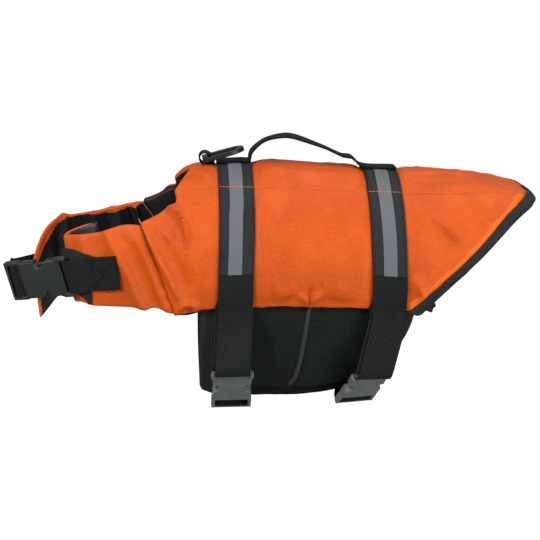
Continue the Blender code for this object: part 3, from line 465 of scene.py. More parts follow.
def cloth(name, colour, shade, rough, pitch, weave, sheen=0.0, specular=0.3, creases=0.0,
          crease_size=40.0, floats=None, woven=0.25, mottle=0.50):
    """Woven cloth: warp and weft, slight unevenness and soft creasing, in two tones: the dark one in
    random patches and, as painted shade, in the weave's grooves.
    """
    made, tree, shader, where = new_finish(name, specular)
    cut = wire(tree, "UVMap", uv_map="cut")
    place = wire(tree, "SeparateXYZ", {0: cut.outputs[0]})
    if floats:
        weaving = cells(tree, place, pitch, floats)
    else:
        weaving = sums(tree, "MULTIPLY", *(threads(tree, way, pitch) for way in place.outputs[:2]))
    patchy = sums(tree, "MULTIPLY", noise_on(tree, where, 26.0, 4.0, Roughness=0.6), 1 - mottle)
    heather = sums(tree, "MULTIPLY", noise_on(tree, where, 420.0, 3.0, Roughness=0.75), mottle)
    tone = sums(tree, "ADD", patchy, heather)
    # the weave's grooves take the dark tone: painted shade, more of it as woven rises
    level = sums(tree, "ADD", sums(tree, "MULTIPLY", tone, 1 - woven),
                 sums(tree, "MULTIPLY", weaving, woven))
    two_tones(tree, shader, level, shade, colour, 0.28, 0.72)
    rubbed(tree, shader, tone, rough, 0.06)
    ground = embossed(tree, shader, weaving, weave, 0.7)
    if creases:
        crumpled = noise_on(tree, where, crease_size, 3.0, Distortion=0.6)
        embossed(tree, shader, crumpled, creases, 0.6, Normal=ground)
    if sheen:
        shader.inputs["Sheen Weight"].default_value = sheen
        shader.inputs["Sheen Roughness"].default_value = 0.45
        tint = [min(1.0, c * 1.2 + 0.1) for c in colour]
        shader.inputs["Sheen Tint"].default_value = (*tint, 1.0)
    return made


def shaded(colour, part):
    return [c * part for c in colour]


def moulded(name, colour, rough, grain):
    """Moulded plastic with a fine satin grain and faint handling marks."""
    made, tree, shader, where = new_finish(name, 0.32)
    marks = noise_on(tree, where, 120.0, 4.0)
    two_tones(tree, shader, marks, shaded(colour, 0.88), shaded(colour, 1.12), 0.35, 0.70)
    rubbed(tree, shader, marks, rough, 0.05)
    embossed(tree, shader, noise_on(tree, where, 2600.0, 2.0), grain, 0.5)
    return made


def spun(name, colour):
    """Sewing thread, with its twist."""
    made, tree, shader, where = new_finish(name, 0.25)
    twist = noise_on(tree, where, 1400.0, 1.0)
    two_tones(tree, shader, twist, shaded(colour, 0.55), shaded(colour, 1.25), 0.0, 1.0)
    embossed(tree, shader, twist, 0.0001, 0.5)
    shader.inputs["Roughness"].default_value = 0.6
    return made


ORANGE = cloth("orange_nylon", (0.740, 0.120, 0.0085), (0.400, 0.050, 0.0030),
               0.42, 0.0011, 0.00022, specular=0.18, creases=0.0018, crease_size=55.0)
# a lighter orange: a painted highlight on the strip of the side panels beside the rear binding
ORANGE_PAINTED_HIGHLIGHT = cloth("orange_nylon_painted_highlight", (0.790, 0.150, 0.0110), (0.620, 0.100, 0.0065),
                      0.44, 0.0011, 0.00022, specular=0.15, creases=0.0012, crease_size=80.0)
LINING = cloth("black_lining", (0.0095, 0.0115, 0.0125), (0.004, 0.005, 0.006), 0.46, 0.0006, 0.00004,
               specular=0.34, creases=0.0030, crease_size=32.0, mottle=0.1)
BINDING = cloth("black_binding", (0.034, 0.038, 0.036), (0.011, 0.013, 0.012), 0.80, 0.0020, 0.00030,
                specular=0.15, creases=0.0008, crease_size=120.0, floats=0.0026, woven=0.60)
BELLY_CLOTH = cloth("black_belly_cloth", (0.020, 0.026, 0.023), (0.004, 0.006, 0.005),
                    0.90, 0.0019, 0.00030, specular=0.10, creases=0.0008, crease_size=50.0,
                    woven=0.40)
# a darker, plainer black: painted shade on the right half where it runs under the left one, and on
# the panel's inner face
BELLY_PAINTED_SHADE = cloth("black_belly_cloth_painted_shade", (0.011, 0.014, 0.013), (0.004, 0.005, 0.005),
                    0.92, 0.0019, 0.00010, specular=0.06, woven=0.2)
BLACK_WEBBING = cloth("black_webbing", (0.030, 0.034, 0.032), (0.002, 0.003, 0.003),
                      0.78, 0.0020, 0.00070, specular=0.10, floats=0.0019, woven=0.80)
RIBBON_CLOTH = cloth("charcoal_ribbon", (0.027, 0.030, 0.032), (0.011, 0.013, 0.014),
                     0.66, 0.0013, 0.00014, specular=0.14, floats=0.0015, woven=0.45)
REFLECTIVE = cloth("grey_reflective_tape", (0.136, 0.145, 0.154), (0.104, 0.112, 0.119),
                   0.50, 0.0008, 0.00003, specular=0.06, creases=0.0003, crease_size=60.0)
PIPING = cloth("grey_piping", (0.040, 0.047, 0.046), (0.018, 0.021, 0.021),
               0.60, 0.0012, 0.00010, specular=0.20)
PILE = cloth("black_loop_pile", (0.066, 0.072, 0.069), (0.010, 0.012, 0.011), 0.95, 0.0014, 0.00100,
             sheen=0.2, specular=0.1, creases=0.0012, crease_size=420.0, woven=0.4)
GREY_PLASTIC = moulded("grey_plastic", (0.100, 0.114, 0.111), 0.46, 0.00003)
BLACK_PLASTIC = moulded("black_plastic", (0.018, 0.023, 0.022), 0.42, 0.00003)
RING_PLASTIC = moulded("black_ring_plastic", (0.008, 0.010, 0.010), 0.38, 0.00002)
ORANGE_THREAD = spun("orange_thread", (0.74, 0.22, 0.035))
DARK_THREAD = spun("dark_orange_thread", (0.075, 0.024, 0.008))
BLACK_THREAD = spun("black_thread", (0.0025, 0.003, 0.003))
CHARCOAL_THREAD = spun("charcoal_thread", (0.044, 0.049, 0.048))


# ---------------------------------------------------------------- making pieces
def keep(name, bm, finishes, slot, body="jacket", nodes=(), crisp=50):
    """Makes a finished piece; edges sharper than crisp degrees stay sharp."""
    mesh = bpy.data.meshes.new(name)
    bm.to_mesh(mesh)
    bm.free()
    for finish in finishes:
        mesh.materials.append(finish)
    mesh.shade_smooth()
    mesh.set_sharp_from_angle(angle=radians(crisp))
    piece = bpy.data.objects.new(name, mesh)
    bpy.context.scene.collection.objects.link(piece)
    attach(piece, body)
    if nodes:
        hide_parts(*nodes)
    return piece


def fold_over(bm, us, vs, place):
    """Adds a closed cloth of two faces over a grid; place(u, v, face) sets each point.

    Gives the new faces, each with its corners' (u, v, face), and the place of every corner."""
    across, down = len(us) - 1, len(vs) - 1
    made = bmesh.ops.create_grid(bm, x_segments=across, y_segments=down, size=0.5)["verts"]
    flat = list({face for corner in made for face in corner.link_faces})
    raised = bmesh.ops.extrude_face_region(bm, geom=flat, use_keep_orig=True)["geom"]
    upper = [corner for corner in raised if isinstance(corner, bmesh.types.BMVert)]
    for corner in upper:
        corner.co.z = 1.0
    spots = {}
    for corner in made + upper:
        u = us[round((corner.co.x + 0.5) * across)]
        v = vs[round((corner.co.y + 0.5) * down)]
        spots[corner] = (u, v, round(corner.co.z))
    faces = list({face for corner in spots for face in corner.link_faces})
    bmesh.ops.recalc_face_normals(bm, faces=faces)
    for corner, spot in spots.items():
        corner.co = place(*spot)
    volume = sum(face.calc_center_median().dot(face.normal) * face.calc_area()
                 for face in faces if face.normal_update() is None)
    if volume < 0:
        bmesh.ops.reverse_faces(bm, faces=faces)
    return [(face, [spots[corner] for corner in face.verts]) for face in faces], spots


def sewn_sheet(name, us, vs, place, cut, finishes, slot, nodes=(), facing=None):
    """A cloth of two faces. cut(u, v) is its flat pattern; facing(u, v, face) picks its finish."""
    bm = bmesh.new()
    pattern = bm.loops.layers.uv.new("cut")
    faces, spots = fold_over(bm, us, vs, place)
    for face, corners in faces:
        u, v, lining = (sum(values) / len(corners) for values in zip(*corners))
        if facing:
            face.material_index = facing(u, v, lining)
        else:
            face.material_index = 1 if lining == 1 and len(finishes) > 1 else 0
        for loop in face.loops:
            loop[pattern].uv = cut(*spots[loop.vert][:2])
    return keep(name, bm, finishes, slot, nodes=nodes)


def rolled(distance, radius):
    """How far a rolled edge has dropped at a distance in from the edge."""
    short = radius - min(max(distance, 0.0), radius)
    return radius - sqrt(max(radius * radius - short * short, 0.0))


# ---------------------------------------------------------------- folds in the cloth
Fold = namedtuple("Fold", "x0 g0 x1 g1 bow width height steep", defaults=(0.0,))
SIDE_FOLDS = (             # from (x0, g0) to (x1, g1); a negative height is a trough
    Fold(-0.1390, 1.155, -0.1165, 1.520, -0.0055, 0.0042, 0.0034, 0.35),
    Fold(-0.1440, 1.230, -0.1270, 1.560, -0.0060, 0.0060, -0.0024),
    Fold(-0.1640, 1.335, -0.1240, 1.900, 0.0010, 0.0038, 0.0032, 0.30),
    Fold(-0.1500, 1.350, -0.1175, 1.820, -0.0010, 0.0055, -0.0024, -0.2),
    Fold(-0.1360, 1.400, -0.1080, 1.720, -0.0030, 0.0085, 0.0012),
    Fold(-0.1290, 1.990, -0.1225, 1.915, 0.0000, 0.0028, 0.0026),
    Fold(-0.1225, 1.918, -0.1115, 1.925, 0.0000, 0.0026, 0.0024),
    Fold(-0.1120, 1.922, -0.1060, 1.990, 0.0000, 0.0030, 0.0024),
    Fold(-0.1180, 1.995, -0.1175, 1.950, 0.0000, 0.0040, -0.0020),
    Fold(-0.1090, 1.180, -0.0980, 1.330, 0.0020, 0.0070, 0.0007),
    Fold(-0.0230, 1.180, -0.0170, 1.325, 0.0010, 0.0042, 0.0012),
    Fold(-0.0510, 1.070, -0.0365, 1.215, 0.0010, 0.0042, 0.0012),
    Fold(-0.0420, 1.240, -0.0300, 1.450, 0.0000, 0.0070, -0.0008),
    Fold(0.0300, 1.130, 0.0420, 1.300, -0.0020, 0.0070, 0.0007),
    Fold(0.0025, 1.995, 0.0025, 1.830, 0.0005, 0.0019, -0.0027),
    Fold(0.0030, 1.955, -0.0100, 1.900, 0.0010, 0.0028, 0.0019),
    Fold(0.0030, 1.955, 0.0150, 1.895, -0.0010, 0.0028, 0.0019),
    Fold(-0.0390, 1.955, -0.0110, 1.925, 0.0030, 0.0042, -0.0019),
    Fold(0.0140, 1.920, 0.0560, 1.945, 0.0030, 0.0042, -0.0018),
    Fold(-0.0350, 1.860, -0.0120, 1.850, 0.0030, 0.0060, 0.0010),
    Fold(0.0160, 1.850, 0.0420, 1.870, 0.0020, 0.0065, 0.0010),
    Fold(0.1230, 1.210, 0.1560, 1.490, 0.0015, 0.0052, 0.0026, 0.25),
    Fold(0.1160, 1.290, 0.1450, 1.520, 0.0020, 0.0080, -0.0014),
    Fold(0.1530, 1.420, 0.1690, 1.540, 0.0000, 0.0065, -0.0012),
    Fold(0.1610, 1.055, 0.1785, 1.250, 0.0010, 0.0050, 0.0015),
    Fold(0.1700, 1.300, 0.1810, 1.420, 0.0010, 0.0055, 0.0010),
    Fold(0.1060, 1.740, 0.1185, 1.850, 0.0010, 0.0036, 0.0022),
    Fold(0.1015, 1.910, 0.1130, 1.850, 0.0010, 0.0036, -0.0020),
    Fold(0.1010, 1.640, 0.1180, 1.600, -0.0020, 0.0070, 0.0008),
)
FAR_FOLDS = (
    Fold(-0.1380, 1.170, -0.1190, 1.500, -0.0045, 0.0048, 0.0028, 0.3),
    Fold(-0.1430, 1.260, -0.1300, 1.540, -0.0050, 0.0060, -0.0020),
    Fold(-0.1620, 1.350, -0.1270, 1.860, 0.0014, 0.0042, 0.0028, 0.25),
    Fold(-0.1490, 1.380, -0.1230, 1.780, -0.0014, 0.0060, -0.0020),
    Fold(-0.1220, 1.990, -0.1160, 1.900, 0.0000, 0.0030, 0.0022),
    Fold(-0.1150, 1.905, -0.1070, 1.985, 0.0000, 0.0032, 0.0020),
    Fold(-0.0300, 1.160, -0.0220, 1.330, -0.0010, 0.0050, 0.0011),
    Fold(0.0220, 1.140, 0.0330, 1.290, -0.0020, 0.0065, 0.0009),
    Fold(0.0140, 1.995, 0.0130, 1.840, 0.0005, 0.0022, -0.0024),
    Fold(0.0135, 1.955, -0.0010, 1.905, 0.0010, 0.0030, 0.0016),
    Fold(0.0135, 1.955, 0.0270, 1.900, -0.0010, 0.0032, 0.0017),
    Fold(-0.0380, 1.950, -0.0030, 1.930, 0.0030, 0.0045, -0.0017),
    Fold(0.0260, 1.925, 0.0560, 1.945, 0.0025, 0.0045, -0.0015),
    Fold(0.1290, 1.240, 0.1540, 1.460, -0.0015, 0.0058, 0.0022, 0.2),
    Fold(0.1200, 1.330, 0.1420, 1.520, 0.0020, 0.0080, -0.0012),
    Fold(0.1680, 1.080, 0.1800, 1.230, 0.0010, 0.0055, 0.0013),
    Fold(0.1080, 1.760, 0.1230, 1.860, 0.0010, 0.0042, 0.0019),
)
BACK_FOLDS = (
    Fold(-0.0440, 0.40, 0.0480, 0.62, 0.004, 0.0050, -0.0008),
    Fold(-0.0390, -0.46, 0.0360, -0.62, -0.004, 0.0055, 0.0008),
    Fold(-0.0300, -0.76, 0.0420, -0.80, -0.002, 0.0050, -0.0007),
    Fold(0.1020, -0.42, 0.2020, -0.26, 0.004, 0.0050, 0.0014),
    Fold(0.1060, -0.68, 0.1760, -0.60, -0.003, 0.0060, -0.0009),
    Fold(0.1100, 0.30, 0.1900, 0.22, -0.003, 0.0060, 0.0012),
    Fold(0.1250, 0.66, 0.1800, 0.56, 0.003, 0.0070, -0.0008),
    Fold(0.2010, -0.14, 0.2260, -0.50, 0.002, 0.0050, -0.0012),
    Fold(0.1980, 0.30, 0.2240, 0.62, 0.002, 0.0050, -0.0010),
    Fold(-0.1150, -0.44, -0.0930, -0.80, 0.002, 0.0045, 0.0014),
    Fold(-0.1120, 0.50, -0.0930, 0.74, -0.002, 0.0050, 0.0011),
)


def laid_out(x, girth):
    """A place on the jacket laid flat, to measure along the cloth."""
    over = abs(girth) - 1
    s = SPINE_HALF * min(abs(girth), 1.0) + max(over, 0.0) * SIDE_DEPTH
    return Vector((x, s if girth > 0 else -s, 0.0))


def crest(off, width, steep):
    """A fold's profile across: 1 on its line, and steeper on one side of it."""
    return exp(-(off / (width * (1 + steep * (1 if off > 0 else -1)))) ** 2)


RIDGE_STRENGTH = 1.75
TROUGH_STRENGTH = 1.20


def fold_height(fold, spot, start, end, side=1):
    run = end - start
    t = (spot - start).dot(run) / run.length_squared
    if not -0.15 < t < 1.15:
        return 0.0
    across = Vector((-run.y, run.x, 0)).normalized()
    off = (spot - start).dot(across) - side * fold.bow * sin(pi * min(max(t, 0), 1))
    fade = smooth(min(t + 0.15, 1.15 - t) / 0.4)
    strength = RIDGE_STRENGTH if fold.height > 0 else TROUGH_STRENGTH
    return strength * fold.height * fade * crest(-side * off, fold.width, fold.steep)


def folded(spot, folds, side=1):
    """The rise of the cloth from its folds at a laid-out place."""
    return sum(fold_height(fold, spot, laid_out(fold.x0, side * fold.g0),
                           laid_out(fold.x1, side * fold.g1), side) for fold in folds)


def ripple(place, size, seed):
    """Uneven gathers along a seam, from -1 to 1."""
    wander = noise.noise(Vector((place * 45, seed, 0.3)))
    strength = 0.5 + 0.9 * noise.noise(Vector((place * 28, seed, 7.7)))
    return sin(2 * pi * place / size + 5.0 * wander) * min(max(strength, 0.0), 1.0)


def gathers(away, reach, height, place, size, seed):
    """Gathers beside a seam, which fade away from it."""
    return height * exp(-away / reach) * ripple(place, size, seed)


def pulled_in(away, width, depth):
    """How far a line of stitches pulls in the cloth beside it."""
    return depth * exp(-(away / width) ** 2)


def crumple(spot, seed):
    """Small sharp creases between the folds, as stiff coated cloth has."""
    broad = noise.noise(Vector((spot.x * 15, spot.y * 15, seed)))
    ridged = 1 - abs(noise.noise(Vector((spot.x * 34 + broad, spot.y * 24, seed + 3.1)))) * 2
    return 0.0014 * broad + 0.0008 * max(ridged, 0.0) ** 3


def relief(x, girth):
    """How the outer cloth rises and falls over the foam."""
    side = 1 if girth > 0 else -1
    spot = laid_out(x, girth)
    rise = crumple(spot, 1.7 * side)
    off_channel = abs(abs(spot.y) - SPINE_HALF)
    rise -= pulled_in(off_channel, 0.0016, 0.0006)
    rise += gathers(off_channel, 0.006, 0.0006, x, 0.0120, side)
    down = abs(girth) - 1
    if down > 0:
        to_rear = max(rear_x(down) - x, 0) * REAR_SLANT
        rise += gathers((1 - down) * SIDE_DEPTH, 0.008, 0.0008, x, 0.0170, 3 + side)
        rise += gathers(to_rear, 0.010, 0.0007, spot.y, 0.0160, 6 + side)
        rise += 0.0021 * crest(to_rear - 0.0046 - BINDING_OUTSIDE, 0.0046, 0.35)
        rise += gathers(max(x - front_x(down), 0), 0.008, 0.0008, spot.y, 0.0130, 9 + side)
        rise += folded(spot, SIDE_FOLDS if side < 0 else FAR_FOLDS, side)
    else:
        rise += folded(spot, BACK_FOLDS)
    gap = min(abs(x - girth_x(which, girth)) for which in GIRTHS) - WEBBING_WIDTH / 2
    beside_strap = 0.0008 * exp(-((gap - 0.010) / 0.007) ** 2)
    return rise * smooth((gap + 0.001) / 0.008) + beside_strap


# ---------------------------------------------------------------- padded panels
def edge_drop(distances, radius=0.0021):
    return max(rolled(distance, radius) for distance in distances)


def back_panel():
    def place(along, girth, lining):
        x = mix(back_front_x(girth), back_rear_x(girth), along)
        drop = edge_drop((along * BACK_LENGTH, (1 - along) * BACK_LENGTH))
        seam = pulled_in((1 - abs(girth)) * SPINE_HALF, 0.0010, 0.0004)
        if lining:
            return inner(x, girth, -drop - 0.0004 * noise.noise(Vector((x * 50, girth * 3, 2.2))))
        return outer(x, girth, relief(x, girth) - drop - seam)

    def facing(along, girth, lining):
        return 1 if lining == 1 and along > TURNED_BACK / BACK_LENGTH else 0

    piece = sewn_sheet("back_panel", fine_ends(0, 1, BACK_LENGTH, 0.0021),
                       fine_ends(-1, 1, 2 * SPINE_HALF, 0.0021), place,
                       lambda along, girth: (along * BACK_LENGTH, girth * SPINE_HALF),
                       (ORANGE, LINING), "orange_nylon", ["spine_pad"], facing)


def side_panel(side, word):
    def place(along, down, lining):
        start, end = front_x(down), rear_x(down)
        x = mix(start, end, along)
        girth = side * (1 + max(down, 1e-4))
        length = end - start
        free_front = along * length if down < CHANNEL_TOP + 0.02 else 1.0
        drop = edge_drop((free_front, (1 - along) * length, (1 - down) * SIDE_DEPTH))
        seam = pulled_in(down * SIDE_DEPTH, 0.0010, 0.0004)
        if down >= CHANNEL_TOP:
            seam += pulled_in(along * length, 0.0014, 0.0012)
        if lining:
            girth += side * HEM_PEEP * smooth((down - 0.97) / 0.03) * smooth((-0.088 - x) / 0.012)
            return inner(x, girth, -drop - 0.0005 * noise.noise(Vector((x * 45, down * 5, 9.2))))
        return outer(x, girth, relief(x, girth) - drop - seam)

    def cut(along, down):
        return mix(front_x(down), rear_x(down), along), down * SIDE_DEPTH

    def facing(along, down, lining):
        if lining == 1 or (lining > 0 and (down > 0.996 or along < 0.002)):
            return 1
        # finish 2, the lighter orange, is a painted highlight on a strip beside the rear binding
        to_rear = (1 - along) * (rear_x(down) - front_x(down)) * REAR_SLANT - BINDING_OUTSIDE
        return 2 if to_rear < 0.0058 + 0.0024 * smooth(down / 0.4) else 0

    piece = sewn_sheet("side_panel_" + word, fine_ends(0, 1, SIDE_LENGTH, 0.0021),
                       fine_ends(0, 1, SIDE_DEPTH, 0.0021), place, cut,
                       (ORANGE, LINING, ORANGE_PAINTED_HIGHLIGHT), "orange_nylon", ["side_pad_" + word], facing)


Crease = namedtuple("Crease", "u0 v0 u1 v1 bow width height steep", defaults=(0.0,))
FLAP_CREASES = {           # in metres along the flap and down it
    NEAR: (
        Crease(0.0320, -0.002, 0.0225, 0.076, 0.0010, 0.0036, 0.0034, 0.35),
        Crease(0.0240, 0.000, 0.0150, 0.072, 0.0010, 0.0055, -0.0022),
        Crease(0.0090, 0.002, 0.0065, 0.072, 0.0000, 0.0040, 0.0014),
        Crease(0.0460, 0.004, 0.0400, 0.030, 0.0010, 0.0060, -0.0012),
        Crease(0.0560, 0.000, 0.0600, 0.018, 0.0010, 0.0050, 0.0010),
        Crease(0.0330, 0.062, 0.0520, 0.068, 0.0010, 0.0035, 0.0016),
        Crease(0.0420, 0.072, 0.0600, 0.060, 0.0010, 0.0040, -0.0014),
    ),
    FAR: (
        Crease(0.0340, -0.002, 0.0260, 0.074, 0.0010, 0.0040, 0.0030, 0.3),
        Crease(0.0250, 0.000, 0.0170, 0.070, 0.0010, 0.0055, -0.0020),
        Crease(0.0100, 0.002, 0.0070, 0.070, 0.0000, 0.0040, 0.0013),
        Crease(0.0700, 0.004, 0.0640, 0.060, 0.0020, 0.0055, 0.0018),
        Crease(0.0900, 0.004, 0.0980, 0.040, -0.0020, 0.0050, -0.0016),
    ),
}
LINING_CREASES = (         # wrinkles in the loose lining
    Crease(0.0090, -0.002, 0.0220, 0.034, 0.0010, 0.0022, 0.0022, 0.4),
    Crease(0.0200, 0.000, 0.0290, 0.040, 0.0020, 0.0030, -0.0020),
    Crease(0.0300, 0.000, 0.0340, 0.045, -0.0020, 0.0026, 0.0018, 0.3),
    Crease(0.0420, 0.004, 0.0520, 0.050, 0.0030, 0.0035, -0.0016),
    Crease(0.0520, 0.000, 0.0600, 0.040, 0.0010, 0.0024, 0.0016, 0.3),
    Crease(0.0640, 0.000, 0.0700, 0.055, 0.0020, 0.0035, -0.0016),
    Crease(0.0780, 0.000, 0.0860, 0.050, -0.0030, 0.0028, 0.0020, 0.4),
    Crease(0.0910, 0.000, 0.0960, 0.050, 0.0020, 0.0026, -0.0018),
    Crease(0.1000, 0.004, 0.1060, 0.050, 0.0010, 0.0030, 0.0016),
    Crease(0.0500, 0.022, 0.0820, 0.030, 0.0020, 0.0030, 0.0014),
)


def creased(u, v, creases):
    """The rise of a flap's cloth from its creases."""
    return sum(fold_height(crease, Vector((u, v, 0)), Vector((crease.u0, crease.v0, 0)),
                           Vector((crease.u1, crease.v1, 0))) for crease in creases)


def flap_width(side, along):
    table = FLAPS[side]
    spread = read(table, along, "hem_angle") - read(table, along, "top_angle")
    return read(table, along, "half") * radians(spread)


def turned_width(side, along):
    """Width of the outer cloth turned in over a flap's lining at the neck."""
    uneven = 1 + 0.45 * noise.noise(Vector((along * 9, 3.0, side)))
    if side == FAR:
        folded_in = mix(1.0, 0.35, smooth((along - 0.34) / 0.14))
        folded_in += 0.80 * smooth((along - 0.61) / 0.07) * smooth((1.02 - along) / 0.2)
        return TURNED * uneven * smooth(along / 0.10) * folded_in
    return 0.0009 * uneven * smooth((along - 0.62) / 0.05) * smooth((0.99 - along) / 0.15)


def flap_rise(side, u, v):
    """How a chest flap's outer cloth rises and falls, in metres along it and down it."""
    rise = creased(u, v, FLAP_CREASES[side]) + crumple(Vector((u * 1.6, v * 1.6, 0)), 5.5 * side)
    return rise + gathers(u, 0.009, 0.0008, v, 0.0130, 12 + side)


def corner_peak(side, spot, v):
    """The right flap's top edge is drawn up to a soft corner part of the way along."""
    if side == NEAR:
        return spot
    peak = 0.0024 * exp(-((spot.x - FAR_CORNER_X) / 0.0045) ** 2) * smooth(1 - v / 0.02)
    return spot + Vector((-peak * 0.5, 0, peak))


def chest_flap(side, word):
    length = FLAP_LENGTHS[side]

    def place(along, down, lining):
        width = flap_width(side, along)
        u, v = along * length, down * width
        if side == NEAR:
            down *= 1 - 0.055 * smooth((along - 0.50) / 0.14)
        drop = edge_drop((v, width - v, (1 - along) * length), 0.0020)
        fade = smooth(min(v, width - v) / 0.004)
        if lining:
            rise = creased(u, v, LINING_CREASES) * (1.0 if side == FAR else 0.5)
            rise += 0.0010 * noise.noise(Vector((u * 70, v * 70, 3.3 * side)))
            rise -= 0.0007 * smooth((turned_width(side, along) - v) / 0.0008)
            return corner_peak(side, flap_point(side, along, down, 1, drop - rise * fade), v)
        rise = flap_rise(side, u, v) - drop - pulled_in(u, 0.0014, 0.0012)
        return corner_peak(side, flap_point(side, along, down, 0, rise), v)

    def facing(along, down, lining):
        if down > 0.995 and lining > 0:
            return 1
        end_turned = mix(TURNED, 0.0012, smooth((down - 0.45) / 0.15))
        on_end = side == FAR and (1 - along) * length < end_turned
        on_top = down * flap_width(side, along) <= turned_width(side, along)
        return 1 if lining == 1 and not on_top and not on_end else 0

    piece = sewn_sheet("chest_flap_cloth_" + word, fine_ends(0, 1, length, 0.0014),
                       fine_ends(0, 1, FLAP_DEPTH, 0.0012), place,
                       lambda along, down: (-along * length, down * FLAP_DEEPEST),
                       (ORANGE, LINING), "orange_nylon", ["chest_flap_" + word], facing)


# ---------------------------------------------------------------- rear binding
def rear_edge(turn):
    """Edge x and girth for a place round the rear edge, -2 on the left hem to 2 on the right."""
    down = abs(turn) - 1
    return (rear_x(down) if down > 0 else back_rear_x(turn)), turn


BIND_FOLD = (              # back from the edge, face of the panel, and part of the tape's width
    (BINDING_WIDTH, 0, 0.00),
    (BINDING_WIDTH * 0.8, 0, 0.06),
    (BINDING_WIDTH * 0.45, 0, 0.18),
    (BINDING_WIDTH * 0.15, 0, 0.29),
    (-0.0006, 0, 0.36),
    (-0.0012, 0.30, 0.44),
    (-0.0014, 0.5, 0.50),
    (-0.0012, 0.70, 0.56),
    (-0.0006, 1, 0.64),
    (BINDING_WIDTH * 0.15, 1, 0.71),
    (BINDING_WIDTH * 0.45, 1, 0.82),
    (BINDING_WIDTH * 0.8, 1, 0.94),
    (BINDING_WIDTH, 1, 1.00),
)


def bind_point(turn, fold, face):
    back, lining, _ = fold
    if back > 0 and lining < 1:
        back *= mix(0.45, 1.0, smooth((abs(turn) - 0.72) / 0.26))
    edge, girth = rear_edge(turn)
    down = abs(girth) - 1
    slant = mix(1.0, 1.40, smooth(down / 0.3))
    wander = 0.0010 * noise.noise(Vector((turn * 11, 0.4, 2.0)))
    out = 0.0010 + TAPE * face + 0.0005 * ripple(turn * SIDE_DEPTH, 0.0085, 20 + lining)
    at = edge - max(back + wander * (back > 0.004), 0.0) * slant
    if back > 0:
        shift, lift = 0.0, out
    else:
        shift, lift = -back * slant + TAPE * face * slant, 0.0002
    top, bottom = outer(at, girth, lift), inner(at, girth, lift)
    return top.lerp(bottom, lining) + Vector((shift, 0, 0))


def rear_binding():
    rows = [-2 + i * 0.0125 for i in range(321)]
    return sewn_sheet("rear_binding_tape", rows, range(len(BIND_FOLD)),
                      lambda turn, k, face: bind_point(turn, BIND_FOLD[k], face),
                      lambda turn, k: (turn * BIAS_LENGTH, BIND_FOLD[k][2] * BIAS_WIDTH),
                      (BINDING,), "black_binding", ["rear_binding"])


# ---------------------------------------------------------------- belly
def belly_rise(x, swing, side):
    rise = 0.0009 * noise.noise(Vector((x * 26, swing * 0.05, 2.0 * side)))
    return rise + 0.0003 * noise.noise(Vector((x * 120, swing * 0.2, 8.0)))


def belly_cloth(side, word, low, high, count):
    def place(along, swing, lining):
        x = belly_x(swing, along)
        rise = belly_rise(x, swing, side) * smooth(min(along, 1 - along) / 0.06)
        return belly_point(x, swing, rise - belly_shift(side, swing) - BELLY * lining)

    def cut(along, swing):
        return belly_x(swing, along), radians(swing) * BELLY_RADIUS

    return sewn_sheet("belly_cloth_" + word, fine_ends(0, 1, 0.19, 0.0022), steps(low, high, count),
                      place, cut,
                      (BELLY_CLOTH, BELLY_PAINTED_SHADE), "black_belly_cloth", ["belly_panel_" + word],
                      # finish 1, the darker black, is painted shade where the right half runs under
                      # the left one, and on the inner face
                      lambda along, swing, lining: 1 if lining or (side == FAR and swing < 0) else 0)


def belly_trim(side, word, end, swings):
    width, away = ((0.0125, -1), (0.0080, 1))[end]
    trim = "belly_trim_" + ("front", "rear")[end]
    fold = ((width, 0, 0), (width * 0.7, 0, 0.1), (width * 0.3, 0, 0.3), (0.0004, 0, 0.44),
            (-0.0008, 0.5, 0.5),
            (0.0004, 1, 0.56), (width * 0.3, 1, 0.7), (width * 0.7, 1, 0.9), (width, 1, 1.0))

    def place(swing, k, face):
        back, lining, _ = fold[k]
        out = 0.0004 + TAPE * face
        uneven = 0.0003 * ripple(swing * 0.0018, 0.0125, 30 + end)
        x = belly_x(swing, end) - away * back
        if back < 0:
            x += away * TAPE * face
        level = -belly_shift(side, swing)
        top = belly_point(x, swing, level + (out + uneven if back > 0 else 0.0))
        under = belly_point(x, swing, level - BELLY - (out if back > 0 else 0.0))
        return top.lerp(under, lining)

    def cut(swing, k):
        return radians(swing) * BELLY_RADIUS, fold[k][2] * (2 * width + 0.004)

    return sewn_sheet(trim + "_tape_" + word, swings, range(len(fold)), place, cut,
                      (BINDING,), "black_binding", [trim + "_" + word])


def belly_piping(side, word):
    def place(swing, across, face):
        up = (-swing - 33) / 47
        lean = mix(-0.012, 0.003, up ** 0.8) - 0.0030 * smooth((swing + 41) / 8)
        x = lean + (across - 0.5) * mix(0.0054, 0.0044, up)
        dome = 0.0006 + 0.0016 * face * sqrt(max(1 - (2 * across - 1) ** 2, 0.0))
        return belly_point(x, side * -swing, dome)

    return sewn_sheet("belly_piping_strip_" + word, steps(BELLY_LEFT_END - 4, -84.0, 60),
                      steps(0, 1, 8), place,
                      lambda swing, across: (radians(swing) * BELLY_RADIUS, across * 0.004),
                      (PIPING,), "grey_piping", ["belly_piping_" + word])


# ---------------------------------------------------------------- straps
Frame = namedtuple("Frame", "centre across out")
GIRTHS = {                 # slope, skew and roll are degrees that the buckle is turned
    "front": dict(x=-0.0680, hem_x=-0.0715, buckle=Vector((-0.0737, -0.0492, -0.2112)),
                  slope=47.0, skew=0.0, roll=0.0, stand=0.0),
    "rear": dict(x=0.0805, hem_x=0.0825, buckle=Vector((0.0620, -0.0400, -0.2156)),
                 slope=40.0, skew=-10.0, roll=8.0, stand=0.0016),
}


def lying(surface, x, guess):
    """The frame of a tape that lies over a surface; surface(x) runs across the tape."""
    reach = WEBBING_WIDTH / 2
    left, right = surface(x - reach), surface(x + reach)
    across = (right - left).normalized()
    out = (guess - across * guess.dot(across)).normalized()
    high = max((surface(x + shift * reach) - left).dot(out) for shift in (-1, -0.5, 0, 0.5, 1))
    return Frame((left + right) / 2 + out * max(high, 0.0), across, out)


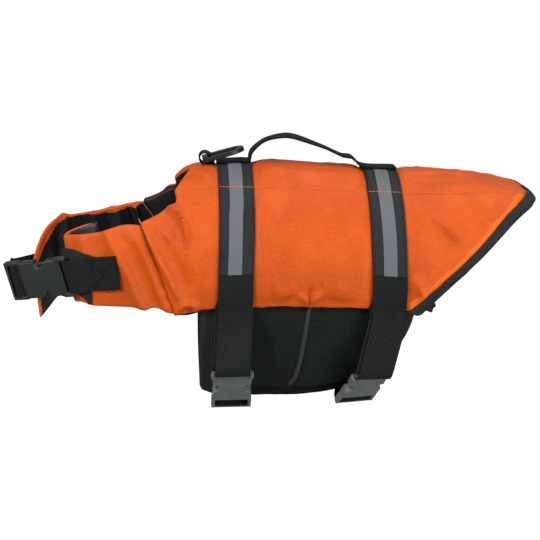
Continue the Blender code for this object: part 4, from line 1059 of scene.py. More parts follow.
def free_frames(points, acrosses, guess):
    """Frames of a strap that hangs free; guess(point) tells roughly which way is outwards."""
    frames, agree = [], 0.0
    for i, point in enumerate(points):
        ahead, behind = points[min(i + 1, len(points) - 1)], points[max(i - 1, 0)]
        across = acrosses[i].normalized()
        out = (ahead - behind).cross(across).normalized()
        agree += out.dot(guess(point)) * (1.0 if i > 5 else 0.2)
        frames.append(Frame(point, across, out))
    return frames if agree > 0 else [frame._replace(out=-frame.out) for frame in frames]


def resampled(frames, pitch):
    """The same run of frames, smoothly filled in at about one pitch."""
    centres = [frame.centre for frame in frames]
    acrosses = [frame.across for frame in frames]
    outs = [frame.out for frame in frames]
    made = []
    for i in range(len(frames) - 1):
        count = max(1, round((centres[i + 1] - centres[i]).length / pitch))
        window = slice(max(i - 1, 0), min(i + 3, len(frames)))
        start = 1 if i > 0 else 0
        c, a, o = (curve_through(values[window], count)[start * count:(start + 1) * count]
                   for values in (centres, acrosses, outs))
        made += [Frame(*row) for row in zip(c, a, o)]
    made.append(frames[-1])
    squared = []
    for centre, across, out in made:
        level = out - across * out.dot(across.normalized())
        squared.append(Frame(centre, across.normalized(), level.normalized()))
    return squared


def length_of(frames):
    return sum((b.centre - a.centre).length for a, b in zip(frames, frames[1:]))


def tape(name, frames, width, low, thick, finish, slot, node, rests_on, shape=None, pitch=0.0022,
         columns=12):
    """A flat woven tape along a run of frames, its under face low above them.

    shape(t, at) gives a shift across and a rise, t along the tape and at across it."""
    run = resampled(frames, pitch)
    spots = [0.0]
    for a, b in zip(run, run[1:]):
        spots.append(spots[-1] + (b.centre - a.centre).length)
    edge = thick / 2
    rim, face_edge = edge * 0.6 / width, edge * 1.6 / width
    across_at = [0.0, rim, *steps(face_edge, 1 - face_edge, columns), 1 - rim, 1.0]

    def place(i, at, face):
        frame = run[i]
        distance = min(at, 1 - at) * width
        soft = edge * 0.75 * (1 - sqrt(max(1 - (1 - min(distance / edge, 1.0)) ** 2, 0.0)))
        shift, rise = shape(spots[i] / spots[-1], at) if shape else (0.0, 0.0)
        level = low + (thick - soft if face else soft) + rise
        return frame.centre + frame.across * (width * (at - 0.5) + shift) + frame.out * level

    piece = sewn_sheet(name, range(len(run)), across_at, place, lambda i, at: (at * width, spots[i]),
                       (finish,), slot, [node])
    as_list(rests_on)


def webbing(name, frames, node, rests_on, width=WEBBING_WIDTH, thick=WEBBING, **more):
    """A length of black webbing that lies right on its run of frames."""
    tape(name, frames, width, 0.0, thick, BLACK_WEBBING, "black_webbing", node, rests_on, **more)


def buckle_matrix(middle, run, face):
    """Places a buckle: run points from its male end to its female one, and face to its front."""
    run = run.normalized()
    face = (face - run * face.dot(run)).normalized()
    across = face.cross(run)
    return Matrix.Translation(middle) @ Matrix((run, across, face)).transposed().to_4x4()


def girth_buckle_matrix(which):
    plan = GIRTHS[which]
    slope, skew = radians(plan["slope"]), radians(plan["skew"])
    run = Vector((-sin(skew), -cos(slope) * cos(skew), sin(slope) * cos(skew)))
    face = Vector((sin(radians(plan["roll"])), -sin(slope), -cos(slope)))
    return buckle_matrix(plan["buckle"], run, face)


def girth_x(which, girth):
    plan = GIRTHS[which]
    return mix(plan["x"], plan["hem_x"], smooth(abs(girth) - 1.2))


def girth_lift(girth):
    """The webbing's height over the cloth, more where its tail lies behind it."""
    return CLEAR + (WEBBING + 0.0006) * smooth((-girth - 1.66) / 0.14)


def pad_frame(x, girth):
    return lying(lambda at: outer(at, girth), x, form_normal(x, girth))


def girth_frames(which, girths):
    frames = []
    for girth in girths:
        frame = pad_frame(girth_x(which, girth), girth)
        frames.append(frame._replace(centre=frame.centre + frame.out * girth_lift(girth)))
    return frames


def belly_frame(x, swing, stand):
    guess = belly_point(x, swing, 1.0) - belly_point(x, swing)
    return lying(lambda at: belly_point(at, swing, stand), x, guess)


GIRTH_STEPS = [2.0, 1.92, 1.84, 1.75, 1.66, 1.57, 1.48, 1.4, 1.323, 1.23, 1.135, 1.07, 1.0]
ALL_GIRTHS = [-g for g in GIRTH_STEPS] + [-0.85, -0.6, -0.3, 0.0, 0.3, 0.6, 0.85] + GIRTH_STEPS[::-1]
BUCKLE_HALF = 0.0350
BAR_TOP = 0.0026
BAR_UNDER = -0.0036
UNDER_STRAP = BAR_UNDER - WEBBING


def round_bar(end, *turns):
    """Webbing's way round a buckle's bar: (x, z) places, x from that end of the buckle."""
    return [Vector((end + x, 0, z)) for x, z in turns]


OVER_FEMALE_BAR = round_bar(
    BUCKLE_HALF, (-0.0010, -0.0060), (-0.0040, -0.0050), (-0.0048, -0.0026),
    (-0.0046, BAR_TOP - 0.0028), (-0.0030, BAR_TOP + 0.0006), (0.0, BAR_TOP + 0.0010),
    (0.0120, BAR_TOP + 0.0006))
UNDER_MALE_BAR = round_bar(
    -BUCKLE_HALF, (-0.0050, BAR_UNDER - 0.0030), (0.0018, UNDER_STRAP - 0.0009),
    (0.0052, UNDER_STRAP - 0.0006), (0.0056, BAR_UNDER + 0.0010), (0.0050, 0.0034))
ROUND_NECK_BAR = round_bar(
    -BUCKLE_HALF, (-0.0035, -0.0180), (0.0005, -0.0082), (0.0030, UNDER_STRAP - 0.0010),
    (0.0052, BAR_UNDER + 0.0012), (0.0062, 0.0016), (0.0090, 0.0020), (0.0135, 0.0008),
    (0.0175, -0.0012))
BELOW_HEM = Vector((0, 0, 0.012))
BELLY_STOPS = (            # degrees up from the keel, and how far the strap stands off there
    (70, 0.0045), (52, 0.0020), (34, 0.0012), (16, 0.0012), (1, 0.0016))
TAIL_SHIFT = Vector((-0.0038, 0, 0))


def outward(point):
    return Vector((0, point.y, point.z + 0.10))


def strap_across(matrix):
    across = matrix.to_3x3() @ Vector((0, 1, 0))
    return across if across.x >= 0 else -across


def buckle_to_pad(points, count, across, start):
    """Frames of a strap from its buckle's bar up to where it first lies on the pad."""
    run = curve_through([*points, start.centre], count)[:-1]
    acrosses = [across.lerp(start.across, max(i - 5, 0) / (len(run) - 5)) for i in range(len(run))]
    return free_frames(run, acrosses, outward)


def girth_webbing(which):
    matrix = girth_buckle_matrix(which)
    across = strap_across(matrix)
    on_pad = girth_frames(which, ALL_GIRTHS)
    start, end = on_pad[0], on_pad[-1]
    below = start.centre + start.out * 0.0003 - BELOW_HEM
    near = buckle_to_pad([matrix @ spot for spot in OVER_FEMALE_BAR] + [below], 2, across, start)
    male = [matrix @ spot for spot in UNDER_MALE_BAR]
    x = end.centre.x
    below = end.centre + Vector((0, 0, -0.014)) + end.out * 0.0004
    hang = [end, end._replace(centre=below)]
    for swing, stand in BELLY_STOPS:
        shift = (male[0].x - x) * (1 - swing / BELLY_SIDE) ** 0.8
        hang.append(belly_frame(x + shift, swing, stand + GIRTHS[which]["stand"]))
    far = curve_through([frame.centre for frame in hang] + male, 2)[1:]
    far_across = curve_through([frame.across for frame in hang] + [across for spot in male], 2)[1:]
    webbing(which + "_girth_webbing", near + on_pad + free_frames(far, far_across, outward),
            which + "_webbing", ["side_pad_left", "spine_pad", "side_pad_right"])


def girth_tail(which):
    matrix = girth_buckle_matrix(which)
    across = strap_across(matrix)
    on_pad = []
    for girth, out_of_line in ((-2.0, 1.0), (-1.935, 0.3), (-1.87, 0.0)):
        frame = pad_frame(girth_x(which, girth) + TAIL_SHIFT.x * out_of_line, girth)
        on_pad.append(frame._replace(centre=frame.centre + frame.out * 0.00045))
    start = on_pad[0]
    turns = round_bar(BUCKLE_HALF, (-0.0015, -0.0052), (0.0040, -0.0034), (0.0120, -0.0004))
    run = [matrix @ spot + TAIL_SHIFT * part for spot, part in zip(turns, (0.2, 0.5, 1.0))]
    near = buckle_to_pad(run + [start.centre - BELOW_HEM], 3, across, start)
    webbing(which + "_girth_tail", near + on_pad, which + "_webbing_tail", ["side_pad_left"],
            WEBBING_WIDTH - 0.0015, WEBBING * 0.8)


def ribbon_run(which, side):
    tuck = (HANDLE_WIDTH / 2 + 0.0006) / SPINE_HALF
    on_pad = [g for g in GIRTH_STEPS[::-1] if g < RIBBON_END]
    return girth_frames(which, [side * g for g in (tuck, 0.42, 0.6, 0.85, *on_pad, RIBBON_END)])


def girth_ribbon(which, side, word):
    frames = ribbon_run(which, side)
    level = WEBBING + 0.0001
    ribbon = "%s_charcoal_ribbon_%s" % (which, word)
    tape(ribbon, frames, RIBBON_WIDTH, level, RIBBON, RIBBON_CLOTH, "charcoal_ribbon",
         "%s_ribbon_%s" % (which, word), [which + "_webbing"])

    def kink(t, at):
        bend = 0.0012 * smooth((t - 0.42) / 0.18) if which == "front" else 0.0006 * sin(6 * t)
        return bend * side, 0.0

    tape("%s_reflective_stripe_%s" % (which, word), frames, STRIPE_WIDTH, level + RIBBON + 0.0001,
         STRIPE, REFLECTIVE, "grey_reflective_tape", "%s_reflector_%s" % (which, word), [ribbon],
         shape=kink, columns=4)


# ---------------------------------------------------------------- side-release buckles
NOTCH_X = 0.0068           # middle of the half-round cut for thumb and finger
NOTCH_RADIUS = 0.0072
SOCKET_HALF = 0.0197
SOCKET_ENDS = (-0.0155, 0.0288)


def block(bm, low, high, soft):
    """A moulded bar with rounded edges between two corners."""
    low, high = Vector(low), Vector(high)
    made = bmesh.ops.create_cube(bm, size=1.0)["verts"]
    bmesh.ops.transform(bm, verts=made, matrix=Matrix.Translation((low + high) / 2)
                        @ Matrix.Diagonal((*(high - low), 1.0)))
    edges = list({edge for corner in made for edge in corner.link_edges})
    bmesh.ops.bevel(bm, geom=edges, offset=soft, segments=3, profile=0.5, affect="EDGES", material=-1)


def blocks_on_both_sides(bm, bars):
    """Bars that stand on both sides of the buckle's middle; each gives its right-hand corners."""
    for side in (-1, 1):
        for (x0, inside, z0), (x1, outside, z1), soft in bars:
            y0, y1 = sorted((side * inside, side * outside))
            block(bm, (x0, y0, z0), (x1, y1, z1), soft)


def socket_half_width(x):
    cut = NOTCH_RADIUS ** 2 - (x - NOTCH_X) ** 2
    inset = max(rolled(x - SOCKET_ENDS[0], 0.0012), rolled(SOCKET_ENDS[1] - x, 0.0012))
    return SOCKET_HALF - inset - (sqrt(cut) * 0.92 if cut > 0 else 0.0)


def socket_plate(x, across, face):
    """The socket's crowned body: thick over its mouth and thin at the webbing bar."""
    half = socket_half_width(x)
    y = across * half
    soft = rolled(half - abs(y), 0.0020) + rolled(x - SOCKET_ENDS[0], 0.0010)
    if face:
        crown = 0.0006 * (1 - (y / SOCKET_HALF) ** 2)
        lip = 0.0004 * crest(x - SOCKET_ENDS[0] - 0.0016, 0.0010, 0.0)
        return Vector((x, y, mix(0.0044, 0.0016, smooth((x - 0.009) / 0.020)) + crown + lip - soft))
    return Vector((x, y, soft - mix(0.0052, 0.0030, smooth((x - 0.006) / 0.016))))


def buckle(word, matrix, finish, slot, horn_end):
    """A fastened buckle: the socket with its horns, and the prongs in it."""
    socket = bmesh.new()
    notch = [NOTCH_X - NOTCH_RADIUS * cos(pi * i / 18) for i in range(19)]
    xs = fine_ends(SOCKET_ENDS[0], notch[0], notch[0] - SOCKET_ENDS[0], 0.0012)[:-5] + notch
    xs += fine_ends(notch[-1], SOCKET_ENDS[1], SOCKET_ENDS[1] - notch[-1], 0.0012)[5:]
    fold_over(socket, xs, fine_ends(-1, 1, 2 * SOCKET_HALF, 0.0016), socket_plate)
    posts = ((0.0200, 0.0160, -0.0032), (min(horn_end, 0.0345), 0.0207, 0.0018), 0.0013)
    horns = ((0.0235, 0.0168, -0.0030), (horn_end, 0.0215, 0.0036), 0.0018)
    blocks_on_both_sides(socket, (posts, horns))
    block(socket, (0.0322, -0.0170, -0.0024), (0.0347, 0.0170, 0.0020), 0.0009)
    prongs = bmesh.new()
    block(prongs, (-0.0190, -0.0194, -0.0046), (-0.0158, 0.0194, 0.0034), 0.0010)
    block(prongs, (-0.0350, -0.0204, -0.0030), (-0.0323, 0.0204, 0.0032), 0.0012)
    rails = ((-0.0345, 0.0168, -0.0036), (-0.0165, 0.0207, 0.0036), 0.0012)
    arms = ((-0.0165, 0.0100, -0.0020), (0.0085, 0.0128, 0.0014), 0.0008)
    catches = ((0.0112, 0.0118, -0.0030), (0.0140, 0.0160, 0.0006), 0.0010)
    tabs = ((0.0030, 0.0147, -0.0030), (0.0132, 0.0168, 0.0012), 0.0009)
    blocks_on_both_sides(prongs, (rails, arms, catches, tabs))
    for bm, part, node in ((socket, "socket", "female"), (prongs, "prongs", "male")):
        bmesh.ops.transform(bm, verts=bm.verts, matrix=matrix)
        keep(word + "_buckle_" + part, bm, [finish], slot, nodes=[word + "_buckle_" + node], crisp=32)


# ---------------------------------------------------------------- neck strap
NECK_BUCKLE = Vector((-0.2645, -0.0425, -0.0943))
NECK_TURNS = dict(yaw=26.0, pitch=13.0, dip=9.0)
NEAR_STRAP = (             # along and down the left flap, and how the strap leans there
    (0.284, 0.546, 0.022), (0.36, 0.548, 0.020), (0.42, 0.548, 0.016), (0.48, 0.54, 0.010))
FAR_STRAP = ((0.44, 0.58), (0.54, 0.60), (0.64, 0.60), (0.74, 0.59), (0.81, 0.57))
OFF_FAR_FLAP = Vector((-0.2905, 0.0060, -0.1010))


def neck_buckle_matrix():
    yaw, pitch, dip = (radians(NECK_TURNS[turn]) for turn in ("yaw", "pitch", "dip"))
    run = Vector((cos(yaw) * cos(dip), -sin(yaw) * cos(dip), sin(dip)))
    face = Vector((-sin(yaw) * cos(pitch), -cos(yaw) * cos(pitch), -sin(pitch)))
    return buckle_matrix(NECK_BUCKLE, run, face)


def flap_frame(side, along, down, lift, lean=0.0):
    """Where a strap that is wide up and down lies on a chest flap."""
    low, high = (flap_point(side, along + lean * way, down + 0.20 * way, 0) for way in (1, -1))
    middle = flap_point(side, along, down, 0)
    across = (high - low).normalized()
    ahead = flap_point(side, min(along + 0.01, 1.0), down, 0)
    out = (ahead - middle).cross(across).normalized()
    if out.y * side < 0:
        out = -out
    bulge = max((middle - low).dot(out), 0.0)
    return Frame((low + high) / 2 + out * (bulge + lift), across, out)


def sewn_strap_end():
    return [flap_frame(NEAR, along, down, 0.0034, lean) for along, down, lean in NEAR_STRAP]


def neck_webbing():
    matrix = neck_buckle_matrix()
    up = matrix.to_3x3() @ Vector((0, 1, 0))
    if up.z < 0:
        up = -up
    sewn = sewn_strap_end()
    over_bar = [matrix @ spot for spot in reversed(OVER_FEMALE_BAR)]
    free = curve_through([sewn[-1].centre] + over_bar, 2)[1:]
    acrosses = [sewn[-1].across.lerp(up, min((i + 1) / 3, 1.0)) for i in range(len(free))]
    near = sewn + free_frames(free, acrosses, lambda point: Vector((-0.3, -1, 0)))
    webbing("neck_strap_left", near, "neck_webbing_left", ["chest_flap_left"])
    sewn = [flap_frame(FAR, along, down, 0.0018) for along, down in FAR_STRAP]
    round_catch = [matrix @ spot for spot in ROUND_NECK_BAR]
    free = curve_through([sewn[-1].centre, OFF_FAR_FLAP] + round_catch, 2)[1:]
    turned = [(i + 1) / len(free) for i in range(len(free))]
    acrosses = [sewn[-1].across * (1 - t) + up * t for t in turned]
    far = sewn + free_frames(free, acrosses, lambda point: Vector((-1, 0.2, 0)))
    webbing("neck_strap_right", far, "neck_webbing_right", ["chest_flap_right"])


PATCH_TOP, PATCH_FOOT = 0.20, 0.96     # parts of the left flap's depth


def loop_patch():
    def place(across, down, face):
        top = PATCH_TOP + 0.12 * (1 - across) ** 2
        down = mix(top, PATCH_FOOT, (down - PATCH_TOP) / 0.76)
        right = mix(0.440, 0.522, (down - PATCH_TOP) / 0.76)
        across *= mix(1.0, 0.14, smooth((down - 0.70) / 0.26))
        along = mix(right, right + 0.19 + 0.06 * smooth((0.70 - down) / 0.3), across)
        fuzz = 0.0004 * noise.noise(Vector((across * 180, down * 700, 1.0))) * face
        u, v = along * FLAP_LENGTHS[NEAR], down * flap_width(NEAR, along)
        rise = max(flap_rise(NEAR, u, v), 0.0)
        return flap_point(NEAR, along, down, 0, 0.0005 + rise + 0.0013 * face + fuzz)

    piece = sewn_sheet("loop_pile_patch", steps(0, 1, 30), steps(PATCH_TOP, PATCH_FOOT, 60), place,
                       lambda across, down: (across * 0.021, down * FLAP_DEEPEST), (PILE,),
                       "black_loop_pile", ["loop_patch"])


# ---------------------------------------------------------------- spine hardware
Stop = namedtuple("Stop", "x z")
HANDLE_ROUTE = (
    Stop(-0.0860, 0.0154),
    Stop(-0.0740, 0.0154),
    Stop(-0.0600, 0.0158),
    Stop(-0.0515, 0.0162),
    Stop(-0.0492, 0.0248),
    Stop(-0.0365, 0.0355),
    Stop(-0.0190, 0.0400),
    Stop(-0.0060, 0.0388),
    Stop(0.0130, 0.0320),
    Stop(0.0250, 0.0271),
    Stop(0.0420, 0.0193),
    Stop(0.0520, 0.0178),
    Stop(0.0595, 0.0108),
    Stop(0.0700, 0.0080),
    Stop(0.0850, 0.0074),
    Stop(0.0925, 0.0072),
    Stop(0.0975, 0.0069),
)
HANDLE_REAR = HANDLE_ROUTE[11]
RING_BAR = Vector((-0.0970, 0.0, 0.0186))
RING_TILT = 15.0
RING_HALF = 0.0112
RING_ROD = 0.0046
RING_SOFT = 0.0010         # how far the rod's edges are rounded
RING_LENGTH = 0.0407
TAB_WIDTH = 0.0190
TAB_LOOP = Vector((-0.0974, 0.0, 0.0199))
TAB_INNER = 0.0050
TAB_THICK = 0.0015


def spine_frames(points):
    frames, across = [], Vector((0, 1, 0))
    for i, point in enumerate(points):
        ahead, behind = points[min(i + 1, len(points) - 1)], points[max(i - 1, 0)]
        frames.append(Frame(point, across, across.cross(behind - ahead).normalized()))
    return frames


def grab_handle():
    points = curve_through([Vector((stop.x, 0, stop.z)) for stop in HANDLE_ROUTE], 2)

    def slack(t, at):
        grip = smooth((t - 0.22) / 0.06) * smooth((0.78 - t) / 0.06)
        edge = 2 * at - 1
        sag = 0.0010 * grip * (1 - edge * edge)
        return 0.0010 * grip * sin(11 * t), sag + 0.0006 * grip * edge * sin(17 * t)

    webbing("grab_handle", spine_frames(points), "handle", ["front_webbing", "rear_webbing"],
            HANDLE_WIDTH, HANDLE, shape=slack)


def ring_tab():
    run = [Vector((0.0098, 0, 0.0002 - TAB_INNER))]
    for i in range(15):
        turn = radians(mix(-90, -300, i / 14))
        run.append(Vector((cos(turn), 0, sin(turn))) * TAB_INNER)
    run += [Vector((0.0062, 0, 0.0020)), Vector((0.0088, 0, -0.0030))]
    webbing("ring_tab_webbing", spine_frames([TAB_LOOP + spot for spot in run]), "ring_tab",
            ["front_webbing"], TAB_WIDTH, TAB_THICK, pitch=0.0008)


def leash_ring():
    curve = bpy.data.curves.new("leash_ring_outline", "CURVE")
    curve.dimensions = "2D"
    curve.fill_mode = "BOTH"
    curve.extrude = RING_ROD / 2 - RING_SOFT
    curve.bevel_depth = RING_SOFT
    curve.bevel_resolution = 5

    def outline(half, back, front):
        corner = half * 0.98
        points = [(back, -half), (back, half)]
        for turn in steps(90, -90, 39):
            t = radians(turn)
            points.append((front - corner + corner * cos(t), half * sin(t)))
        spline = curve.splines.new("POLY")
        spline.points.add(len(points) - 1)
        for spot, (x, y) in zip(spline.points, points):
            spot.co = (x, y, 0, 1)
        spline.use_cyclic_u = True

    rod = RING_ROD - RING_SOFT
    outline(RING_HALF + rod, -rod / 2, RING_LENGTH - RING_SOFT)
    outline(RING_HALF, rod / 2, RING_LENGTH - rod - RING_SOFT)
    drawn = bpy.data.objects.new("leash_ring_outline", curve)
    bpy.context.scene.collection.objects.link(drawn)
    bpy.context.view_layer.update()
    filled = drawn.evaluated_get(bpy.context.evaluated_depsgraph_get())
    bm = bmesh.new()
    bm.from_mesh(bpy.data.meshes.new_from_object(filled))
    bpy.data.objects.remove(drawn, do_unlink=True)
    bmesh.ops.remove_doubles(bm, verts=bm.verts, dist=0.00002)
    bmesh.ops.recalc_face_normals(bm, faces=bm.faces[:])
    bmesh.ops.transform(bm, verts=bm.verts, matrix=Matrix.Translation(RING_BAR)
                        @ Matrix.Rotation(radians(-RING_TILT), 4, "Y"))
    keep("leash_ring", bm, [RING_PLASTIC], "black_plastic", body="leash_ring", nodes=["d_ring"],
         crisp=35)


# ---------------------------------------------------------------- thread
def stitch_row(bm, spots, pitch, size, thick):
    """Stitches along a run of (point, out) pairs, one each pitch."""
    walked, due = 0.0, pitch * 0.5
    for (a, out), (b, _) in zip(spots, spots[1:]):
        step = (b - a).length
        while due <= walked + step and step > 0:
            at = a.lerp(b, (due - walked) / step)
            ahead = (b - a).normalized()
            across = out.cross(ahead).normalized()
            axes = Matrix((ahead, across, ahead.cross(across))).transposed().to_4x4()
            bmesh.ops.create_icosphere(bm, subdivisions=1, radius=1.0,
                                       matrix=Matrix.Translation(at) @ axes
                                       @ Matrix.Diagonal((size / 2, thick / 2, thick / 2, 1.0)))
            due += pitch
        walked += step


def stitching(name, rows, pitch, size, thick, finish, slot):
    """A seam's stitches; pitch, size and thick are one stitch's spacing, length and thread."""
    bm = bmesh.new()
    for row in rows:
        stitch_row(bm, row, pitch, size, thick)
    keep(name, bm, [finish], slot)


def loose_thread(bm, points, thick):
    """A free end of sewing thread through a few points."""
    run = curve_through([Vector(point) for point in points], 6)
    stitch_row(bm, [(point, Vector((0, -0.4, 1))) for point in run], 0.0007, 0.0013, thick)


def channel_spots(side, low, high):
    return [(outer(x, side, relief(x, side) - 0.0003), form_normal(x, side))
            for x in steps(low, high, 120)]


def frame_spots(frames, shift, level):
    return [(f.centre + f.across * shift + f.out * level, f.out) for f in resampled(frames, 0.004)]


def spine_channels():
    rows = []
    for side in (NEAR, FAR):
        for low, high in ((-0.1275, -0.0860), (-0.0500, 0.0625), (0.0985, 0.2290)):
            rows.append(channel_spots(side, low, high))
    stitching("channel_stitching", rows, 0.0030, 0.0021, 0.0008, ORANGE_THREAD, "orange_nylon")


def spine_channels_on_ribbon():
    rows = []
    for which in GIRTHS:
        for side in (NEAR, FAR):
            centre, across, out = girth_frames(which, [side])[0]
            spots = []
            for t in steps(-1, 1, 20):
                level = WEBBING + RIBBON + 0.0004 + (STRIPE if abs(t) < 0.4 else 0.0)
                spots.append((centre + across * (t * RIBBON_WIDTH / 2) + out * level, out))
            rows.append(spots)
    stitching("ribbon_channel_stitching", rows, 0.0034, 0.0031, 0.0007, ORANGE_THREAD, "orange_nylon")


def chest_channels():
    rows = []
    for side in (NEAR, FAR):
        spots = []
        for down in steps(CHANNEL_TOP + 0.01, 0.985, 60):
            x, girth = front_x(down) + 0.0006, side * (1 + down)
            spots.append((outer(x, girth, relief(x, girth) - 0.0006), form_normal(x, girth)))
        rows.append(spots)
    stitching("chest_channel_stitching", rows, 0.0030, 0.0020, 0.0007, DARK_THREAD, "orange_nylon")


def ribbon_seams():
    edges, ends = [], []
    level = WEBBING + RIBBON + 0.0001
    for which in GIRTHS:
        for side in (NEAR, FAR):
            frames = ribbon_run(which, side)
            edges += [frame_spots(frames, shift, level) for shift in (-0.0153, 0.0153)]
            centre, across, out = frames[-1]
            spots = []
            for t in steps(-1, 1, 10):
                over_stripe = 0.0006 * (abs(t) < 0.45)
                spots.append((centre + across * (t * 0.0155) + out * (level + over_stripe), out))
            ends.append(spots)
    stitching("ribbon_edge_stitching", edges, 0.0030, 0.0021, 0.0013, BLACK_THREAD, "charcoal_ribbon")
    stitching("ribbon_end_stitching", ends, 0.0026, 0.0019, 0.0008, BLACK_THREAD, "charcoal_ribbon")


def belly_trim_seams():
    rows = []
    for side, swings in ((NEAR, steps(-BELLY_SIDE, BELLY_LEFT_END, 60)),
                         (FAR, steps(TRIM_START, BELLY_SIDE, 110))):
        for end, back in ((0, -0.0105), (0, -0.0030), (1, 0.0060)):
            spots = []
            for swing in swings:
                x, level = belly_x(swing, end) - back, 0.0017 - belly_shift(side, swing)
                out = belly_point(0, swing, 1.0) - belly_point(0, swing)
                spots.append((belly_point(x, swing, level), out))
            rows.append(spots)
    stitching("belly_trim_stitching", rows, 0.0034, 0.0022, 0.0007, CHARCOAL_THREAD, "black_binding")


def rear_binding_seam():
    rows = []
    for face in (0, 1):
        sewn_at = (BINDING_WIDTH * 0.80, face, 0)
        rows.append([(bind_point(turn, sewn_at, 1.2), form_normal(*rear_edge(turn)))
                     for turn in steps(-1.99, 1.99, 400)])
    stitching("rear_binding_stitching", rows, 0.0032, 0.0021, 0.0007, CHARCOAL_THREAD,
              "black_binding")


def box_and_cross():
    """The neck strap's sewn end: stitches round its edge and across its corners."""
    strap = resampled(sewn_strap_end(), 0.002)
    reach = length_of(strap)

    def on_strap(t, shift):
        centre, across, out = strap[round(t * (len(strap) - 1))]
        return centre + across * shift + out * (WEBBING + 0.0002), out

    half = WEBBING_WIDTH / 2 - 0.0025
    start, stop = 0.0025 / reach, 1 - 0.004 / reach
    box = ((start, -half, start, half), (stop, -half, stop, half), (start, half, stop, half),
           (start, -half, stop, -half))
    cross = ((start, -half, stop, half), (start, half, stop, -half))
    rows = []
    for t0, shift0, t1, shift1 in box + cross:
        rows.append([on_strap(mix(t0, t1, i / 16), mix(shift0, shift1, i / 16)) for i in range(17)])
    stitching("neck_strap_box_stitch", rows, 0.0024, 0.0022, 0.0017, BLACK_THREAD, "black_webbing")


def loose_ends():
    """Ends of sewing thread that were not trimmed."""
    bm = bmesh.new()
    chest, higher = (outer(front_x(down) + 0.001, -1 - down, 0.0016) for down in (0.34, 0.33))
    loose_thread(bm, [chest, higher + Vector((-0.001, -0.001, 0.002)),
                      higher + Vector((-0.0022, -0.0008, 0.0042))], 0.0009)
    hanging = ((0.03, 0.02), (0.02, 0.12), (0.0, 0.22), (0.01, 0.32), (-0.02, 0.40))
    loose_thread(bm, [flap_point(FAR, along, down, 1, 0.0012) + Vector((0.0030, -0.0052, 0.0020))
                      for along, down in hanging], 0.0010)
    keep("loose_orange_threads", bm, [ORANGE_THREAD], "orange_nylon")
    bm = bmesh.new()
    edge = flap_point(FAR, 0.405, 0.0, 0.6) - Vector((0, 0, 0.0042))
    loose_thread(bm, [edge, edge + Vector((-0.0008, -0.001, 0.0025)),
                      edge + Vector((-0.0014, -0.001, 0.0052))], 0.0009)
    grip = Vector((HANDLE_REAR.x + 0.001, -HANDLE_WIDTH / 2, HANDLE_REAR.z - 0.001))
    loose_thread(bm, [grip, grip + Vector((0.0015, -0.001, -0.0030)),
                      grip + Vector((0.0040, -0.001, -0.0040))], 0.0005)
    keep("loose_black_threads", bm, [BLACK_THREAD], "black_webbing")


Lump = namedtuple("Lump", "girth back out long thick wide")
BINDING_LUMPS = (
    Lump(1.915, 0.0020, 0.0020, 0.0064, 0.0040, 0.0078),
    Lump(2.005, 0.0100, 0.0003, 0.0066, 0.0036, 0.0048),
)


def binding_ends():
    """The binding's ends, folded over twice at the hem and left as a lump."""
    for side, word in SIDES:
        bm = bmesh.new()
        for girth, back, out, *size in BINDING_LUMPS:
            at = outer(rear_x(girth - 1) - back, side * girth, out - 0.0030)
            for corner in bmesh.ops.create_icosphere(bm, subdivisions=4, radius=1.0)["verts"]:
                bump = 1 + 0.16 * noise.noise(corner.co * 1.9 + Vector((size[2] * 900, 0, 0)))
                bump += 0.10 * sin(corner.co.z * 7 + corner.co.x * 3)
                corner.co = at + Vector([part * reach * bump for part, reach in zip(corner.co, size)])
        bmesh.ops.recalc_face_normals(bm, faces=bm.faces[:])
        keep("binding_end_" + word, bm, [BINDING], "black_binding")


# ---------------------------------------------------------------- room, lights and camera
Box = namedtuple("Box", "name spot size power")
LIGHT_BOXES = (
    Box("key_box", (-1.34, -1.38, 0.88), 0.42, 32.0),
    Box("top_box", (0.5, 0.0, 1.8), 1.0, 16.0),
    Box("fill_box", (1.15, -1.35, -0.10), 1.2, 24.0),
)
LIT = Vector((0, 0, -0.08))            # where the boxes point
CAMERA_AZIMUTH, CAMERA_ELEVATION = radians(-4.0), radians(13.0)
CAMERA_AWAY = 1.40
CAMERA_TARGET = Vector((-0.031, 0.0, -0.099))
FOCAL_LENGTH, SENSOR_WIDTH = 89.7, 36.0


def placed(name, made, spot, facing):
    """Puts a light or a camera in the room, looking along facing."""
    thing = bpy.data.objects.new(name, made)
    thing.location = spot
    thing.rotation_euler = facing.to_track_quat("-Z", "Y").to_euler()
    bpy.context.scene.collection.objects.link(thing)
    return thing


def pale_floor():
    bm = bmesh.new()
    bmesh.ops.create_grid(bm, x_segments=1, y_segments=1, size=90.0)
    bmesh.ops.translate(bm, verts=bm.verts, vec=(0, 0, -1.20))
    mesh = bpy.data.meshes.new("studio_floor")
    bm.to_mesh(mesh)
    bm.free()
    floor = bpy.data.objects.new("studio_floor", mesh)
    bpy.context.scene.collection.objects.link(floor)
    paper = bpy.data.materials.new("pale_paper")
    paper.use_nodes = True
    shader = paper.node_tree.nodes["Principled BSDF"]
    shader.inputs["Base Color"].default_value = (0.93, 0.93, 0.93, 1.0)
    shader.inputs["Roughness"].default_value = 0.9
    shader.inputs["Emission Color"].default_value = (1.0, 1.0, 1.0, 1.0)
    shader.inputs["Emission Strength"].default_value = 0.60
    mesh.materials.append(paper)
    floor.visible_diffuse = False
    floor.visible_glossy = False


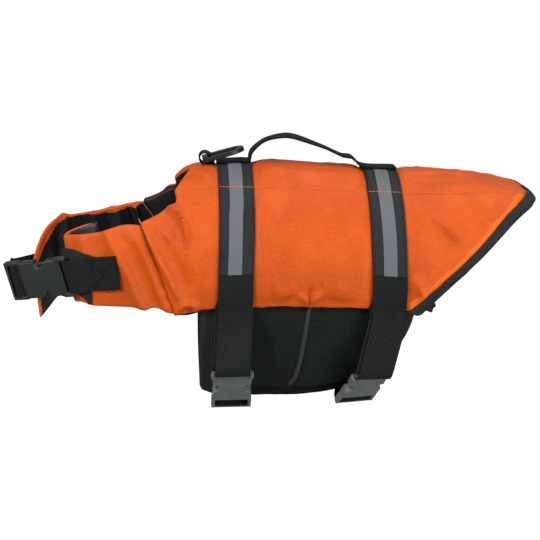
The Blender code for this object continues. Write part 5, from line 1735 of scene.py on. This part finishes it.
def studio():
    pale_floor()
    room = bpy.data.worlds.new("white_room")
    room.use_nodes = True
    light = room.node_tree.nodes["Background"]
    light.inputs["Color"].default_value = (1.0, 1.0, 1.0, 1.0)
    light.inputs["Strength"].default_value = 0.34
    scene = bpy.context.scene
    scene.world = room
    for name, spot, size, power in LIGHT_BOXES:
        light = bpy.data.lights.new(name, "AREA")
        light.size, light.energy = size, power
        placed(name, light, spot, LIT - Vector(spot))
    day = bpy.data.lights.new("window_sun", "SUN")
    day.energy, day.angle = 0.5, radians(40)
    placed("window_sun", day, (-0.6, -0.9, 2.0), Vector((0.30, 0.45, -1.0)))
    scene.view_settings.view_transform = "Standard"
    scene.view_settings.look = "None"


def camera():
    flat = cos(CAMERA_ELEVATION)
    way = Vector((sin(CAMERA_AZIMUTH) * flat, -cos(CAMERA_AZIMUTH) * flat, sin(CAMERA_ELEVATION)))
    spot = CAMERA_TARGET + CAMERA_AWAY * way
    lens = bpy.data.cameras.new("camera")
    lens.lens, lens.sensor_width = FOCAL_LENGTH, SENSOR_WIDTH
    bpy.context.scene.camera = placed("camera", lens, spot, CAMERA_TARGET - spot)


def belly():
    left = belly_cloth(NEAR, "left", -BELLY_SIDE, BELLY_LEFT_END, 46)
    right = belly_cloth(FAR, "right", BELLY_RIGHT_END, BELLY_SIDE, 116)
    near_swings = steps(-BELLY_SIDE, BELLY_LEFT_END, 50)
    far_swings = steps(TRIM_START, BELLY_SIDE, 100)
    for end, width in ((0, 0.029), (1, 0.020)):
        belly_trim(NEAR, "left", end, near_swings)
        belly_trim(FAR, "right", end, far_swings)


def main():
    camera()
    studio()
    back_panel()
    for side, word in SIDES:
        side_panel(side, word)
        chest_flap(side, word)
        belly_piping(side, word)
    rear_binding()
    belly()
    for which in GIRTHS:
        girth_webbing(which)
        girth_tail(which)
        for side, word in SIDES:
            girth_ribbon(which, side, word)
    binding_ends()
    neck_webbing()
    loop_patch()
    grab_handle()
    ring_tab()
    leash_ring()
    for which in GIRTHS:
        buckle(which, girth_buckle_matrix(which), GREY_PLASTIC, "grey_plastic", 0.0322)
    buckle("neck", neck_buckle_matrix(), BLACK_PLASTIC, "black_plastic", 0.0362)
    spine_channels()
    spine_channels_on_ribbon()
    chest_channels()
    ribbon_seams()
    belly_trim_seams()
    rear_binding_seam()
    box_and_cross()
    loose_ends()


main()
